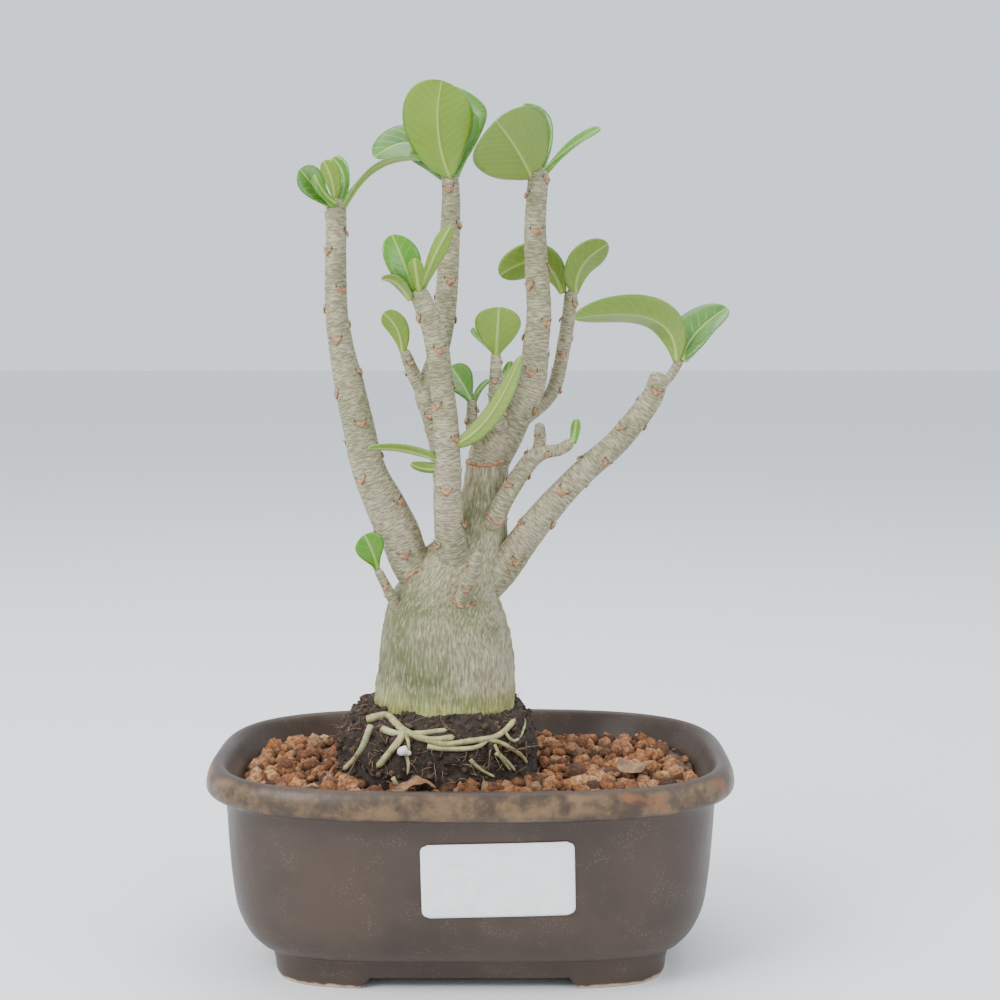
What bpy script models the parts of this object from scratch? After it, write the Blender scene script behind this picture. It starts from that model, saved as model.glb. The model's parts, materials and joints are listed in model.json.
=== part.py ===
"""Potted desert rose: a swollen caudex with grown branches and leaves, a nursery root
ball and a bed of coarse granules, in an oval glazed bonsai pot on four corner feet.

Metres, +Z up. The origin is on the ground under the middle of the pot, and the pot's
front faces -Y. Lengths in the tables below are millimetres, turned to metres by MM.
"""
import math

import bmesh
import bpy
import numpy as np
from mathutils import Vector
from mathutils.bvhtree import BVHTree

MM = 0.001
SEAT_GAP = 0.35        # clearance between pieces that rest on or grow from each other
LEAF_THICK = 0.7
STALK_HALF = 0.75      # half the width of a leaf's stalk where it leaves the wood
LABEL_SIZE = (40.0, 20.0)
LABEL_CENTRE = (7.6, 33.2)
LABEL_TILT = math.radians(1.3)

# Pot rings from the foot up the outside, over the lip and down the inside to the floor:
# height, half length, half depth, roundness exponent of the plan.
POT_OUTSIDE = [
    (0.0, 54.0, 35.6, 5.0), (4.0, 54.4, 35.8, 5.0), (7.6, 56.0, 37.0, 4.6),
    (9.2, 58.8, 39.2, 4.2), (12.5, 62.5, 42.0, 3.8), (18.0, 65.0, 43.8, 3.6),
    (26.0, 66.3, 44.9, 3.5), (36.0, 67.2, 45.7, 3.4), (46.0, 67.9, 46.3, 3.3),
    (49.0, 68.2, 46.6, 3.3), (49.5, 72.0, 50.2, 3.2), (51.4, 73.2, 51.3, 3.2),
    (54.4, 72.6, 50.8, 3.2), (56.7, 71.1, 49.6, 3.2), (57.5, 69.6, 48.4, 3.2)]
POT_INSIDE = [
    (56.9, 68.3, 47.2, 3.2), (54.0, 66.8, 45.8, 3.2), (49.0, 63.8, 43.0, 3.3),
    (30.0, 61.5, 40.5, 3.4), (13.0, 57.5, 37.2, 3.7), (9.8, 53.0, 33.4, 4.2)]
POT_UNDERSIDE = [(0.0, 49.0, 30.8, 5.0), (5.0, 48.0, 29.8, 5.0)]
POT_SEGMENTS = 52
FOOT_HEIGHT = 3.2
FOOT_GAP_X = 28.0      # half the clear space between the feet along the front
FOOT_GAP_Y = 16.0      # half the clear space between the feet along the ends
DRAIN_X = 27.0
DRAIN_RADIUS = 6.0

BED_TOP = 51.5         # mean height of the granules
BALL_CENTRE = (-9.5, 4.0)
BALL_RINGS = [         # root ball: height, half length, half depth, exponent
    (20.0, 22.0, 20.0, 2.6), (24.0, 25.5, 24.0, 2.6), (44.0, 28.0, 26.5, 2.6),
    (52.0, 28.6, 27.2, 2.6), (60.0, 27.8, 26.4, 2.6), (65.5, 26.0, 24.6, 2.6),
    (68.6, 22.6, 21.2, 2.4), (69.8, 15.0, 14.0, 2.2)]

# Wood: each route is (x, y, z, radius) from the root end to the tip. "from" names the
# wood that it grows out of.
WOOD = {
    "caudex": dict(parent=None, sides=20, route=[
        (-7.4, 5, 62, 17.0), (-7.4, 5, 67, 19.6), (-7.4, 5, 73, 20.0), (-7.3, 5, 79, 19.3),
        (-7.3, 5, 87, 18.6), (-6.6, 5, 95.6, 16.9), (-4.7, 5, 103, 14.2),
        (-1.2, 5, 110, 11.2), (2.0, 5, 117, 8.4), (3.4, 5, 126, 6.8), (4.2, 5, 134, 6.2),
        (4.5, 5, 138.4, 6.1)]),
    "left_branch": dict(parent="caudex", route=[
        (-9.0, 4, 95, 5.6), (-13.5, 2.5, 104, 6.0), (-17.6, 2, 111.2, 5.9),
        (-20.2, 1, 118.4, 5.9), (-23.6, 0, 125.6, 5.7), (-28.7, -1, 137.2, 4.8),
        (-31.4, -1, 149, 4.5), (-33.9, 0, 160.3, 4.2), (-36.3, 1, 172, 3.5),
        (-37.4, 2, 183.3, 3.2), (-37.3, 3, 207.3, 3.0), (-37.3, 3, 211.6, 2.7)]),
    "front_branch": dict(parent="caudex", route=[
        (0, 2, 104, 3.8), (-5.0, -3.5, 113.5, 4.5), (-6.2, -8, 126.5, 4.1),
        (-6.2, -9, 137.9, 3.8), (-6.7, -10, 149.5, 3.6), (-7.8, -11, 160.7, 3.3),
        (-9.2, -12, 172.1, 3.3), (-11.6, -12.5, 179.9, 3.0), (-14.3, -13, 186.1, 2.6)]),
    "back_branch": dict(parent="caudex", route=[
        (-1.0, 5, 108, 2.6), (-5.5, 5, 119, 2.7), (-8.3, 4.5, 132.9, 2.5),
        (-9.6, 4, 142.8, 2.4), (-11.3, 4, 151.2, 2.8), (-12.6, 4, 156.8, 3.3),
        (-11.3, 4.5, 162.4, 2.9), (-8.7, 5, 170.8, 2.9), (-7.0, 6, 183.4, 3.2),
        (-5.6, 7, 207.6, 2.8), (-5.9, 7, 218.9, 2.5)]),
    "knuckle_twig": dict(parent="back_branch", route=[
        (-13.2, 3.8, 157.4, 2.4), (-16.2, 2, 163.3, 2.0), (-18.6, 0, 169.8, 1.5)]),
    "middle_branch": dict(parent="caudex", route=[
        (4.8, 5, 136.0, 5.6), (5.6, 5, 140.3, 6.3), (8.9, 5, 145, 5.6),
        (12.6, 5, 151.2, 4.6), (17.0, 5, 160.2, 4.1), (18.3, 5, 171.9, 3.8),
        (19.0, 5, 180.0, 3.6), (18.2, 5.5, 193.9, 3.4), (17.9, 6, 205.3, 3.1),
        (18.7, 6, 216.6, 3.0), (18.7, 6, 220.2, 2.6)]),
    "rear_branch": dict(parent="middle_branch", route=[
        (14.5, 6.5, 150.0, 2.4), (20.9, 11, 154.8, 2.1), (24.1, 12, 160.4, 2.1),
        (26.5, 13, 171.8, 2.1), (28.2, 14, 183.5, 2.1), (27.5, 14, 186.4, 1.9)]),
    "low_branch": dict(parent="caudex", route=[
        (4.5, 1.5, 119.0, 2.8), (6.6, -1, 122.6, 3.1), (9.2, -2, 128, 2.8),
        (13.7, -3, 135.2, 2.6), (17.5, -4, 140.0, 2.5), (21.1, -5, 141.6, 1.9),
        (24.7, -5, 142.2, 1.8), (28.2, -6, 144.6, 1.7)]),
    "low_stub": dict(parent="low_branch", route=[
        (17.9, -4, 139.6, 1.9), (19.2, -4, 144.7, 1.8), (18.9, -5, 149.8, 1.5)]),
    "right_branch": dict(parent="caudex", route=[
        (2.0, 4, 99.5, 4.4), (8.1, 2, 107.0, 4.8), (12.6, 1, 113.3, 4.6),
        (19.0, 0, 122.0, 4.2), (26.0, -1, 130.2, 3.8), (32.9, -2, 137.3, 3.6),
        (39.8, -3, 143.5, 3.5), (45.8, -3, 150.5, 3.3), (50.2, -3, 156.8, 3.1),
        (52.4, -3, 163.5, 2.6)]),
    "right_shoot": dict(parent="right_branch", route=[
        (52.2, -3, 159.2, 1.5), (55.6, -3.6, 163.2, 1.4), (57.8, -4, 167.4, 1.4)]),
    "upright_twig": dict(parent="middle_branch", route=[
        (9.6, 3, 145.4, 2.2), (7.6, -1.6, 150.5, 2.2), (6.9, -3, 156.5, 2.1),
        (6.9, -3.2, 161.3, 1.9), (7.0, -4, 169.5, 1.5)]),
    "short_twig": dict(parent="middle_branch", route=[
        (3.4, 3, 141.3, 1.9), (0.5, -0.4, 146.5, 1.8), (0.3, -1, 152.9, 1.6),
        (0.3, -1, 156.5, 1.3)]),
    "basal_twig": dict(parent="caudex", route=[
        (-17.5, 1, 93, 2.0), (-21.9, -3, 100.3, 1.7), (-24.0, -4, 104.7, 1.4),
        (-26.2, -5, 109.3, 1.3)]),
    "front_twig": dict(parent="caudex", route=[
        (-3.4, -5, 97.5, 2.6), (-1.2, -11.5, 104.5, 2.2), (0.6, -14, 110.6, 1.7),
        (2.1, -15.5, 115.5, 1.1)]),
}

# Leaves: stalk, middle and tip of the midrib, the way the upper side faces, full width,
# fold (rise of the edges over their distance from the midrib), and where it is widest.
LEAVES = {
    "left_leaf_1": ("left_branch", (-39.6, 0.4, 210.2), (-42.6, -2.2, 213.8), (-46.4, -5, 218.4),
                    (0.3, -0.9, 0.5), 9.0, 0.2, 0.72),
    "left_leaf_2": ("left_branch", (-38.3, -1.0, 210.0), (-40.6, -4, 212.9), (-42.4, -5, 217),
                    (0.2, -0.8, 0.5), 3.4, 0.2, 0.7),
    "left_leaf_3": ("left_branch", (-37.3, 3.2, 211.8), (-38.2, 2.2, 216.6), (-40.4, 1.6, 221.4),
                    (0.3, 0.8, 0.4), 5.6, 0.15, 0.72),
    "left_leaf_4": ("left_branch", (-35.6, 4.6, 211), (-35.0, 6.5, 217.4), (-38.6, 8, 222.8),
                    (-0.6, -0.6, 0.5), 4.8, 0.2, 0.7),
    "left_leaf_5": ("left_branch", (-34.8, 2, 209.6), (-25.9, -1, 219.0), (-13.6, -4, 221.2),
                    (-0.3, -0.1, 0.95), 7.0, 0.5, 0.78),
    "back_leaf_1": ("back_branch", (-6.2, 4.6, 218.6), (-9.0, 0.5, 230.0), (-7.6, -3.5, 242.4),
                    (0.1, 0.95, 0.35), 19.6, 0.1, 0.64),
    "back_leaf_2": ("back_branch", (-5.2, 9.3, 218.8), (-5.6, 14.5, 232.0), (-3.4, 16, 243.4),
                    (-0.1, -0.9, 0.4), 19.6, 0.1, 0.66),
    "back_leaf_3": ("back_branch", (-8.4, 7.8, 218.4), (-15.8, 8.4, 226.8), (-26.6, 5.4, 222.6),
                    (-0.2, -0.75, 0.65), 13.4, 0.15, 0.64),
    "back_leaf_4": ("back_branch", (-3.6, 7.0, 219.2), (-0.9, 6.6, 226.8), (1.6, 5, 234.6),
                    (-0.6, -0.7, 0.3), 7.0, 0.25, 0.72),
    "middle_leaf_1": ("middle_branch", (16.2, 4.2, 218.2), (12.2, -4, 224.6), (7.0, -13, 230.6),
                      (-0.32, 0.79, 0.5), 23.0, 0.12, 0.6),
    "middle_leaf_2": ("middle_branch", (19.4, 8.0, 219.8), (20.9, 10.5, 230), (14.4, 11, 237.6),
                      (-0.5, -0.5, 0.7), 6.0, 0.25, 0.66),
    "middle_leaf_3": ("middle_branch", (21.2, 5.6, 219.2), (28.2, 2.5, 225.6), (35.6, 0, 229.8),
                      (-0.2, -0.5, 0.8), 6.2, 0.25, 0.72),
    "front_leaf_1": ("front_branch", (-15.8, -12.2, 186.6), (-17.6, -14.0, 192.6),
                     (-21.0, -13, 200.4), (0.35, -0.85, 0.3), 10.2, 0.12, 0.64),
    "front_leaf_2": ("front_branch", (-12.6, -12.4, 187.0), (-9.5, -15, 194.5),
                     (-4.9, -17, 202.6), (0.5, 0.3, 0.8), 4.4, 0.5, 0.72),
    "front_leaf_3": ("front_branch", (-13.8, -15.2, 187.2), (-14.2, -17.8, 190.6),
                     (-14.6, -19.4, 193.9), (0, 0.8, 0.6), 4.0, 0.2, 0.66),
    "front_leaf_4": ("front_branch", (-16.6, -15.0, 184.6), (-19.8, -17.8, 188.2),
                     (-23.4, -19.6, 188.6), (-0.1, 0.4, 0.9), 4.0, 0.2, 0.66),
    "knuckle_leaf": ("knuckle_twig", (-18.8, -0.2, 170.2), (-20.0, -2.6, 175.4),
                     (-23.8, -4.4, 179.8), (0.2, 0.85, 0.45), 6.8, 0.15, 0.7),
    "twig_leaf_1": ("upright_twig", (7.1, -5.2, 169.6), (7.4, -8.4, 174.6), (7.8, -11, 181.2),
                    (0, 0.85, 0.5), 12.4, 0.12, 0.7),
    "twig_leaf_2": ("upright_twig", (6.2, -2.6, 169.6), (3.8, 0.5, 172.0), (0.6, 3.5, 175.6),
                    (0.3, -0.5, 0.8), 5.0, 0.2, 0.72),
    "twig_leaf_3": ("upright_twig", (8.4, -1.6, 160.8), (10.0, 1.0, 163.0), (11.2, 2.5, 166.4),
                    (-0.3, -0.4, 0.8), 3.4, 0.2, 0.7),
    "short_leaf_1": ("short_twig", (-0.8, -1.2, 157.0), (-2.6, -1.6, 160.6), (-5.6, -2, 165.0),
                     (0.25, -0.85, 0.35), 8.4, 0.12, 0.72),
    "short_leaf_2": ("short_twig", (1.4, -0.8, 156.8), (3.0, -0.4, 159.2), (5.2, 0, 161.2),
                     (-0.5, -0.4, 0.7), 3.0, 0.2, 0.72),
    "long_leaf": ("front_branch", (-3.4, -10.8, 144.2), (5.4, -15, 151.7), (13.7, -16, 168.2),
                  (0.5, 0.75, 0.1), 5.2, 0.25, 0.62),
    "side_leaf_1": ("front_branch", (-10.1, -10.2, 140.6), (-18.4, -13, 142.9),
                    (-27.6, -15, 143.3), (0, 0.6, 0.8), 3.6, 0.25, 0.62),
    "side_leaf_2": ("front_branch", (-9.8, -9.0, 137.4), (-12.8, -8.2, 137.2),
                    (-16.4, -8, 138.6), (0.2, 0.7, 0.6), 4.0, 0.15, 0.62),
    "rear_leaf_1": ("rear_branch", (25.6, 13.8, 186.8), (19.6, 13.4, 194.6), (8.0, 12, 190.4),
                    (0.2, 0.8, 0.55), 11.2, 0.15, 0.66),
    "rear_leaf_2": ("rear_branch", (29.2, 13.6, 186.8), (31.0, 11, 193.4), (38.4, 9, 199.2),
                    (-0.4, 0.75, 0.45), 10.6, 0.12, 0.66),
    "right_leaf_1": ("right_shoot", (56.6, -4.4, 168.0), (50.2, -6, 178.4), (28.4, -9, 178.4),
                     (0.1, 0.62, 0.78), 13.0, 0.35, 0.66),
    "right_leaf_2": ("right_shoot", (59.0, -3.8, 168.0), (62.2, -1, 174.0), (71.2, 2, 181.0),
                     (-0.35, -0.6, 0.65), 13.0, 0.45, 0.6),
    "low_leaf": ("low_branch", (28.6, -6.0, 145.6), (29.0, -6, 147.8), (29.2, -6, 150.8),
                 (-0.4, -0.8, 0.3), 2.8, 0.2, 0.68),
    "basal_leaf": ("basal_twig", (-26.4, -5.2, 110.2), (-27.2, -7, 113.8), (-29.4, -8, 118.8),
                   (0.3, -0.85, 0.3), 8.6, 0.12, 0.76),
}
LEAF_STATIONS = 8
LEAF_LANES = 4

# Roots lying on the peat: (x, z) as seen from the front, and the radius at each end.
ROOTS = {
    "surface_root_1": ([(-27.5, 66.5), (-29.5, 61.5), (-32.5, 56.5), (-35.5, 53.5)], 1.1, 0.8),
    "surface_root_2": ([(-24.0, 66.5), (-19.0, 65.6), (-13.0, 66.0), (-6.0, 66.6)], 1.1, 0.7),
    "surface_root_3": ([(-18.0, 62.0), (-16.6, 58.6), (-17.0, 55.0)], 0.7, 0.45),
    "surface_root_4": ([(-11.5, 62.8), (-5.0, 62.0), (2.0, 62.2), (5.0, 64.2)], 0.9, 0.7),
    "surface_root_5": ([(7.0, 60.4), (10.0, 57.5), (12.5, 54.0)], 0.8, 0.5),
    "surface_root_6": ([(0.0, 59.0), (3.0, 56.0), (7.0, 53.6)], 0.7, 0.45),
}

FINISHES = {           # base colour, roughness
    "glaze": ((0.16, 0.13, 0.11), 0.45),
    "peat": ((0.035, 0.022, 0.014), 0.95),
    "granules": ((0.26, 0.15, 0.08), 0.9),
    "bark": ((0.46, 0.42, 0.32), 0.8),
    "root_skin": ((0.42, 0.40, 0.24), 0.7),
    "leaf": ((0.20, 0.36, 0.07), 0.35),
    "label": ((0.86, 0.86, 0.84), 0.5),
}


def clear_scene():
    """Remove every object and the collections that held them."""
    for obj in list(bpy.data.objects):
        bpy.data.objects.remove(obj, do_unlink=True)
    for group in list(bpy.data.collections):
        bpy.data.collections.remove(group)


def new_collection(name):
    group = bpy.data.collections.new(name)
    bpy.context.scene.collection.children.link(group)
    return group


def material(name):
    """The Principled material of one finish, made on first use."""
    found = bpy.data.materials.get(name)
    if found:
        return found
    colour, roughness = FINISHES[name]
    made = bpy.data.materials.new(name)
    made.use_nodes = True
    shader = made.node_tree.nodes["Principled BSDF"]
    shader.inputs["Base Color"].default_value = (*colour, 1.0)
    shader.inputs["Roughness"].default_value = roughness
    shader.inputs["Metallic"].default_value = 0.0
    return made


def add_mesh(name, verts, faces, finish, group, smooth=True):
    """A mesh object from millimetre points, with its finish."""
    mesh = bpy.data.meshes.new(name)
    mesh.from_pydata([tuple(c * MM for c in v) for v in verts], [], faces)
    mesh.materials.append(material(finish))
    if smooth:
        mesh.shade_smooth()
        mesh.set_sharp_from_angle(angle=math.radians(50))
    obj = bpy.data.objects.new(name, mesh)
    group.objects.link(obj)
    return obj


def as_cutter(obj):
    obj.hide_render = True
    obj.display_type = "WIRE"


def cut(obj, cutter):
    """Take the cutter's space out of the object, with a Boolean modifier."""
    modifier = obj.modifiers.new("cut_by_" + cutter.name, "BOOLEAN")
    modifier.operation = "DIFFERENCE"
    modifier.solver = "EXACT"
    modifier.object = cutter


def oval(ring, grow=0.0, centre=(0.0, 0.0), segments=POT_SEGMENTS):
    """Points of one superellipse ring (height, half length, half depth, exponent)."""
    height, half_x, half_y, power = ring
    points = []
    for step in range(segments):
        angle = 2 * math.pi * step / segments
        cos, sin = math.cos(angle), math.sin(angle)
        x = math.copysign(abs(cos) ** (2 / power), cos) * (half_x + grow)
        y = math.copysign(abs(sin) ** (2 / power), sin) * (half_y + grow)
        points.append((centre[0] + x, centre[1] + y, height))
    return points


def loft(rings):
    """Close a stack of equal rings into one skin, with a fan at each end."""
    count = len(rings[0])
    verts = [p for ring in rings for p in ring]
    faces = []
    for level in range(len(rings) - 1):
        low, high = level * count, (level + 1) * count
        for i in range(count):
            j = (i + 1) % count
            faces.append((low + i, low + j, high + j, high + i))
    for level, flip in ((0, True), (len(rings) - 1, False)):
        ring = rings[level]
        hub = len(verts)
        verts.append(tuple(sum(p[k] for p in ring) / count for k in range(3)))
        for i in range(count):
            a, b = level * count + i, level * count + (i + 1) % count
            faces.append((b, a, hub) if flip else (a, b, hub))
    return verts, faces


def ripple(point, size, height):
    """A smooth, repeatable bumpiness from a few crossed sine waves."""
    x, y, z = (c / size for c in point)
    total = math.sin(2.1 * x + 1.3 * y) + math.sin(1.7 * y - 2.3 * z + 1.0)
    return height * (total + math.sin(2.9 * z + 1.9 * x + 2.0)) / 3


def make_pot(group, cutters):
    """One fired piece: bowl, rolled lip, foot ring and floor, with its cut-outs."""
    stack = list(reversed(POT_UNDERSIDE)) + POT_OUTSIDE + POT_INSIDE
    verts, faces = loft([oval(ring) for ring in stack])
    pot = add_mesh("bonsai_pot", verts, faces, "glaze", group)
    tall = 2 * FOOT_HEIGHT
    for name, half_x, half_y in (("front_foot_gap", FOOT_GAP_X, 60.0),
                                 ("end_foot_gap", 90.0, FOOT_GAP_Y)):
        bpy.ops.mesh.primitive_cube_add(size=tall * MM, location=(0, 0, 0))
        gap = bpy.context.object
        gap.name = name
        gap.scale = (2 * half_x / tall, 2 * half_y / tall, 1)
        bpy.ops.object.transform_apply(location=False, rotation=False, scale=True)
        move_to(gap, cutters)
        as_cutter(gap)
        cut(pot, gap)
    for side, name in ((-1, "left_drain_hole"), (1, "right_drain_hole")):
        bpy.ops.mesh.primitive_cylinder_add(vertices=20, radius=DRAIN_RADIUS * MM, depth=14 * MM,
                                            location=(side * DRAIN_X * MM, 0, 8 * MM))
        hole = bpy.context.object
        hole.name = name
        move_to(hole, cutters)
        as_cutter(hole)
        cut(pot, hole)
    return pot


def move_to(obj, group):
    for old in list(obj.users_collection):
        old.objects.unlink(obj)
    group.objects.link(obj)


def pot_face(x, z):
    """How far forward the pot's outside stands at (x, z), from its rings."""
    heights = [ring[0] for ring in POT_OUTSIDE]
    half_x, half_y, power = (np.interp(z, heights, [ring[k] for ring in POT_OUTSIDE])
                             for k in (1, 2, 3))
    return -half_y * (1 - abs(x / half_x) ** power) ** (1 / power)


def make_label(group):
    """The blank sticker on the pot's front, a sheet that follows the glaze."""
    columns, rows = 10, 4
    verts = []
    for row in range(rows + 1):
        for column in range(columns + 1):
            across = (column / columns - 0.5) * LABEL_SIZE[0]
            up = (row / rows - 0.5) * LABEL_SIZE[1]
            x = LABEL_CENTRE[0] + across * math.cos(LABEL_TILT) - up * math.sin(LABEL_TILT)
            z = LABEL_CENTRE[1] + across * math.sin(LABEL_TILT) + up * math.cos(LABEL_TILT)
            verts.append((x, pot_face(x, z) - SEAT_GAP, z))
    faces = []
    for row in range(rows):
        for column in range(columns):
            a = row * (columns + 1) + column
            faces.append((a, a + 1, a + columns + 2, a + columns + 1))
    label = add_mesh("blank_label", verts, faces, "label", group)
    sheet = label.modifiers.new("sheet", "SOLIDIFY")
    sheet.thickness = 0.2 * MM
    sheet.offset = 1
    return label


def ball_rings(grow):
    """The root ball's rings, rippled, and grown outwards for the pocket it sits in."""
    rings = []
    for ring in BALL_RINGS:
        points = oval(ring, grow, BALL_CENTRE, segments=30)
        rings.append([tuple(p[k] + 0.5 * ripple(p, 5.0 + 2 * k, 1.6) for k in range(3))
                      for p in points])
    return rings


def make_root_ball(group, cutters, caudex_space):
    verts, faces = loft(ball_rings(0.0))
    ball = add_mesh("root_ball", verts, faces, "peat", group)
    verts, faces = loft(ball_rings(SEAT_GAP + 0.15))
    pocket = add_mesh("ball_pocket", [(x, y, z - SEAT_GAP if z < 22 else z) for x, y, z in verts],
                      faces, "peat", cutters)
    as_cutter(pocket)
    cut(ball, caudex_space)
    return ball, pocket


def make_bed(group, pocket):
    """The granules: they fill the pot up to a bumpy top, around the root ball."""
    side = [(10.4, 52.2, 32.6, 4.2), (13.2, 57.0, 36.7, 3.7), (30.0, 61.0, 40.0, 3.4),
            (48.4, 63.2, 42.4, 3.3)]
    rings = [oval(ring, segments=44) for ring in side]
    for share in (0.985, 0.93, 0.82, 0.66, 0.45, 0.2):
        flat = oval((BED_TOP, 63.4 * share, 42.6 * share, 3.0), segments=44)
        rings.append([(x, y, z + ripple((x, y, z), 3.2, 1.5) - (1.2 if share > 0.95 else 0))
                      for x, y, z in flat])
    verts, faces = loft(rings)
    bed = add_mesh("granule_bed", verts, faces, "granules", group)
    cut(bed, pocket)
    return bed


def smooth_route(points, spacing):
    """A Catmull-Rom curve through points of any width, sampled about every spacing."""
    rows = np.array(points, float)
    ends = np.vstack([2 * rows[0] - rows[1], rows, 2 * rows[-1] - rows[-2]])
    out = []
    for i in range(len(rows) - 1):
        a, b, c, d = ends[i:i + 4]
        steps = max(1, round(float(np.linalg.norm((c - b)[:3])) / spacing))
        for t in np.arange(steps) / steps:
            out.append(0.5 * (2 * b + (c - a) * t + (2 * a - 5 * b + 4 * c - d) * t ** 2
                              + (3 * b - a - 3 * c + d) * t ** 3))
    out.append(rows[-1])
    return np.array(out)


def make_tube(name, route, finish, group, resolution=2, grow=0.0, spacing=5.0):
    """A capped tube with a radius at each point, from a POLY curve, as a mesh."""
    rows = smooth_route(route, spacing)
    curve = bpy.data.curves.new(name, "CURVE")
    curve.dimensions = "3D"
    curve.bevel_depth = MM
    curve.bevel_resolution = resolution
    curve.use_fill_caps = True
    spline = curve.splines.new("POLY")
    spline.points.add(len(rows) - 1)
    for point, row in zip(spline.points, rows):
        point.co = (row[0] * MM, row[1] * MM, row[2] * MM, 1)
        point.radius = row[3] + grow
    guide = bpy.data.objects.new(name + "_curve", curve)
    group.objects.link(guide)
    bpy.context.view_layer.update()
    shown = guide.evaluated_get(bpy.context.evaluated_depsgraph_get())
    mesh = bpy.data.meshes.new_from_object(shown)
    cleaned = bmesh.new()
    cleaned.from_mesh(mesh)
    bmesh.ops.remove_doubles(cleaned, verts=cleaned.verts, dist=0.00002)
    bmesh.ops.recalc_face_normals(cleaned, faces=cleaned.faces)
    cleaned.to_mesh(mesh)
    cleaned.free()
    mesh.materials.clear()
    mesh.materials.append(material(finish))
    mesh.shade_smooth()
    mesh.set_sharp_from_angle(angle=math.radians(50))
    obj = bpy.data.objects.new(name, mesh)
    obj.matrix_world = guide.matrix_world
    group.objects.link(obj)
    bpy.data.objects.remove(guide, do_unlink=True)
    return obj


def make_wood(group, cutters):
    """The caudex and every branch, each cut back from the wood that it grows out of."""
    spaces, wood = {}, {}
    for name, item in WOOD.items():
        detail = 5 if name == "caudex" else 2
        wood[name] = make_tube(name, item["route"], "bark", group, detail)
        parents = {other["parent"] for other in WOOD.values()}
        if name in parents:
            space = make_tube(name + "_space", item["route"], "bark", cutters, detail,
                              grow=SEAT_GAP)
            as_cutter(space)
            spaces[name] = space
    for name, item in WOOD.items():
        if item["parent"]:
            cut(wood[name], spaces[item["parent"]])
    return wood, spaces


def surface_of(objects):
    """One search tree over the shown meshes of some objects."""
    bpy.context.view_layer.update()
    graph = bpy.context.evaluated_depsgraph_get()
    joined = bmesh.new()
    for obj in objects:
        joined.from_mesh(obj.evaluated_get(graph).to_mesh())
    tree = BVHTree.FromBMesh(joined)
    joined.free()
    return tree


def seat(tree, point, direction, half):
    """A start just off the wood, so that an end of that half width clears it."""
    spot, normal, _, _ = tree.find_nearest(point * MM)
    lean = math.sqrt(max(0.0, 1 - normal.dot(direction) ** 2))
    return spot / MM + normal * (SEAT_GAP + half * lean)


def make_leaf(name, row, wood, group):
    """A leaf: stations along a bent midrib, lanes across, then a thickness.

    The half width grows from the stalk as a power of the way along and closes round at
    the tip, and the edges rise from the midrib by the fold.
    """
    branch, base, middle, tip, facing, width, fold, widest = row
    base, middle, tip, facing = (Vector(v) for v in (base, middle, tip, facing))
    start = seat(surface_of([wood[branch]]), base, (middle - base).normalized(), STALK_HALF + 0.2)
    bend = 2 * middle - (start + tip) / 2
    verts = []
    rise = 0.5 * widest / (1 - widest)
    peak = widest ** rise * (1 - widest) ** 0.5
    for step in range(LEAF_STATIONS):
        t = 1 - (1 - step / (LEAF_STATIONS - 1)) ** 1.35
        centre = (1 - t) ** 2 * start + 2 * t * (1 - t) * bend + t * t * tip
        along = (2 * (1 - t) * (bend - start) + 2 * t * (tip - bend)).normalized()
        side = along.cross(facing).normalized()
        up = side.cross(along)
        half = width / 2 * t ** rise * (1 - t) ** 0.5 / peak + STALK_HALF * (1 - t) + 0.3 * t
        for lane in range(LEAF_LANES + 1):
            across = 2 * lane / LEAF_LANES - 1
            point = centre + side * (across * half) + up * (abs(across) * half * fold)
            verts.append(tuple(point))
    faces = []
    row_length = LEAF_LANES + 1
    for step in range(LEAF_STATIONS - 1):
        for lane in range(LEAF_LANES):
            a = step * row_length + lane
            faces.append((a, a + 1, a + row_length + 1, a + row_length))
    leaf = add_mesh(name, verts, faces, "leaf", group)
    sheet = leaf.modifiers.new("thickness", "SOLIDIFY")
    sheet.thickness = LEAF_THICK * MM
    sheet.offset = 0
    return leaf


def make_root(name, row, tree, group):
    """A root laid on the soil: its front view is projected back onto the surface."""
    outline, thick, thin = row
    points = smooth_route([(x, 0, z) for x, z in outline], 2.5)
    route = []
    for i, (x, _, z) in enumerate(points):
        radius = thick + (thin - thick) * i / (len(points) - 1)
        hit, normal, _, _ = tree.ray_cast(Vector((x, -90, z)) * MM, Vector((0, 1, 0)))
        centre = hit / MM + normal * (radius + SEAT_GAP + 0.1)
        route.append((*centre, radius))
    return make_tube(name, route, "root_skin", group, 1, spacing=2.5)


def main():
    clear_scene()
    group = new_collection("potted_desert_rose")
    cutters = new_collection("cutters")
    make_pot(group, cutters)
    make_label(group)
    wood, spaces = make_wood(group, cutters)
    ball, pocket = make_root_ball(group, cutters, spaces["caudex"])
    bed = make_bed(group, pocket)
    for name, row in LEAVES.items():
        make_leaf(name, row, wood, group)
    soil = surface_of([ball, bed])
    for name, row in ROOTS.items():
        make_root(name, row, soil, group)


main()
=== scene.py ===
import json
import math

import bmesh
import bpy
import numpy as np
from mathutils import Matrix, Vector
from mathutils.bvhtree import BVHTree

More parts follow.
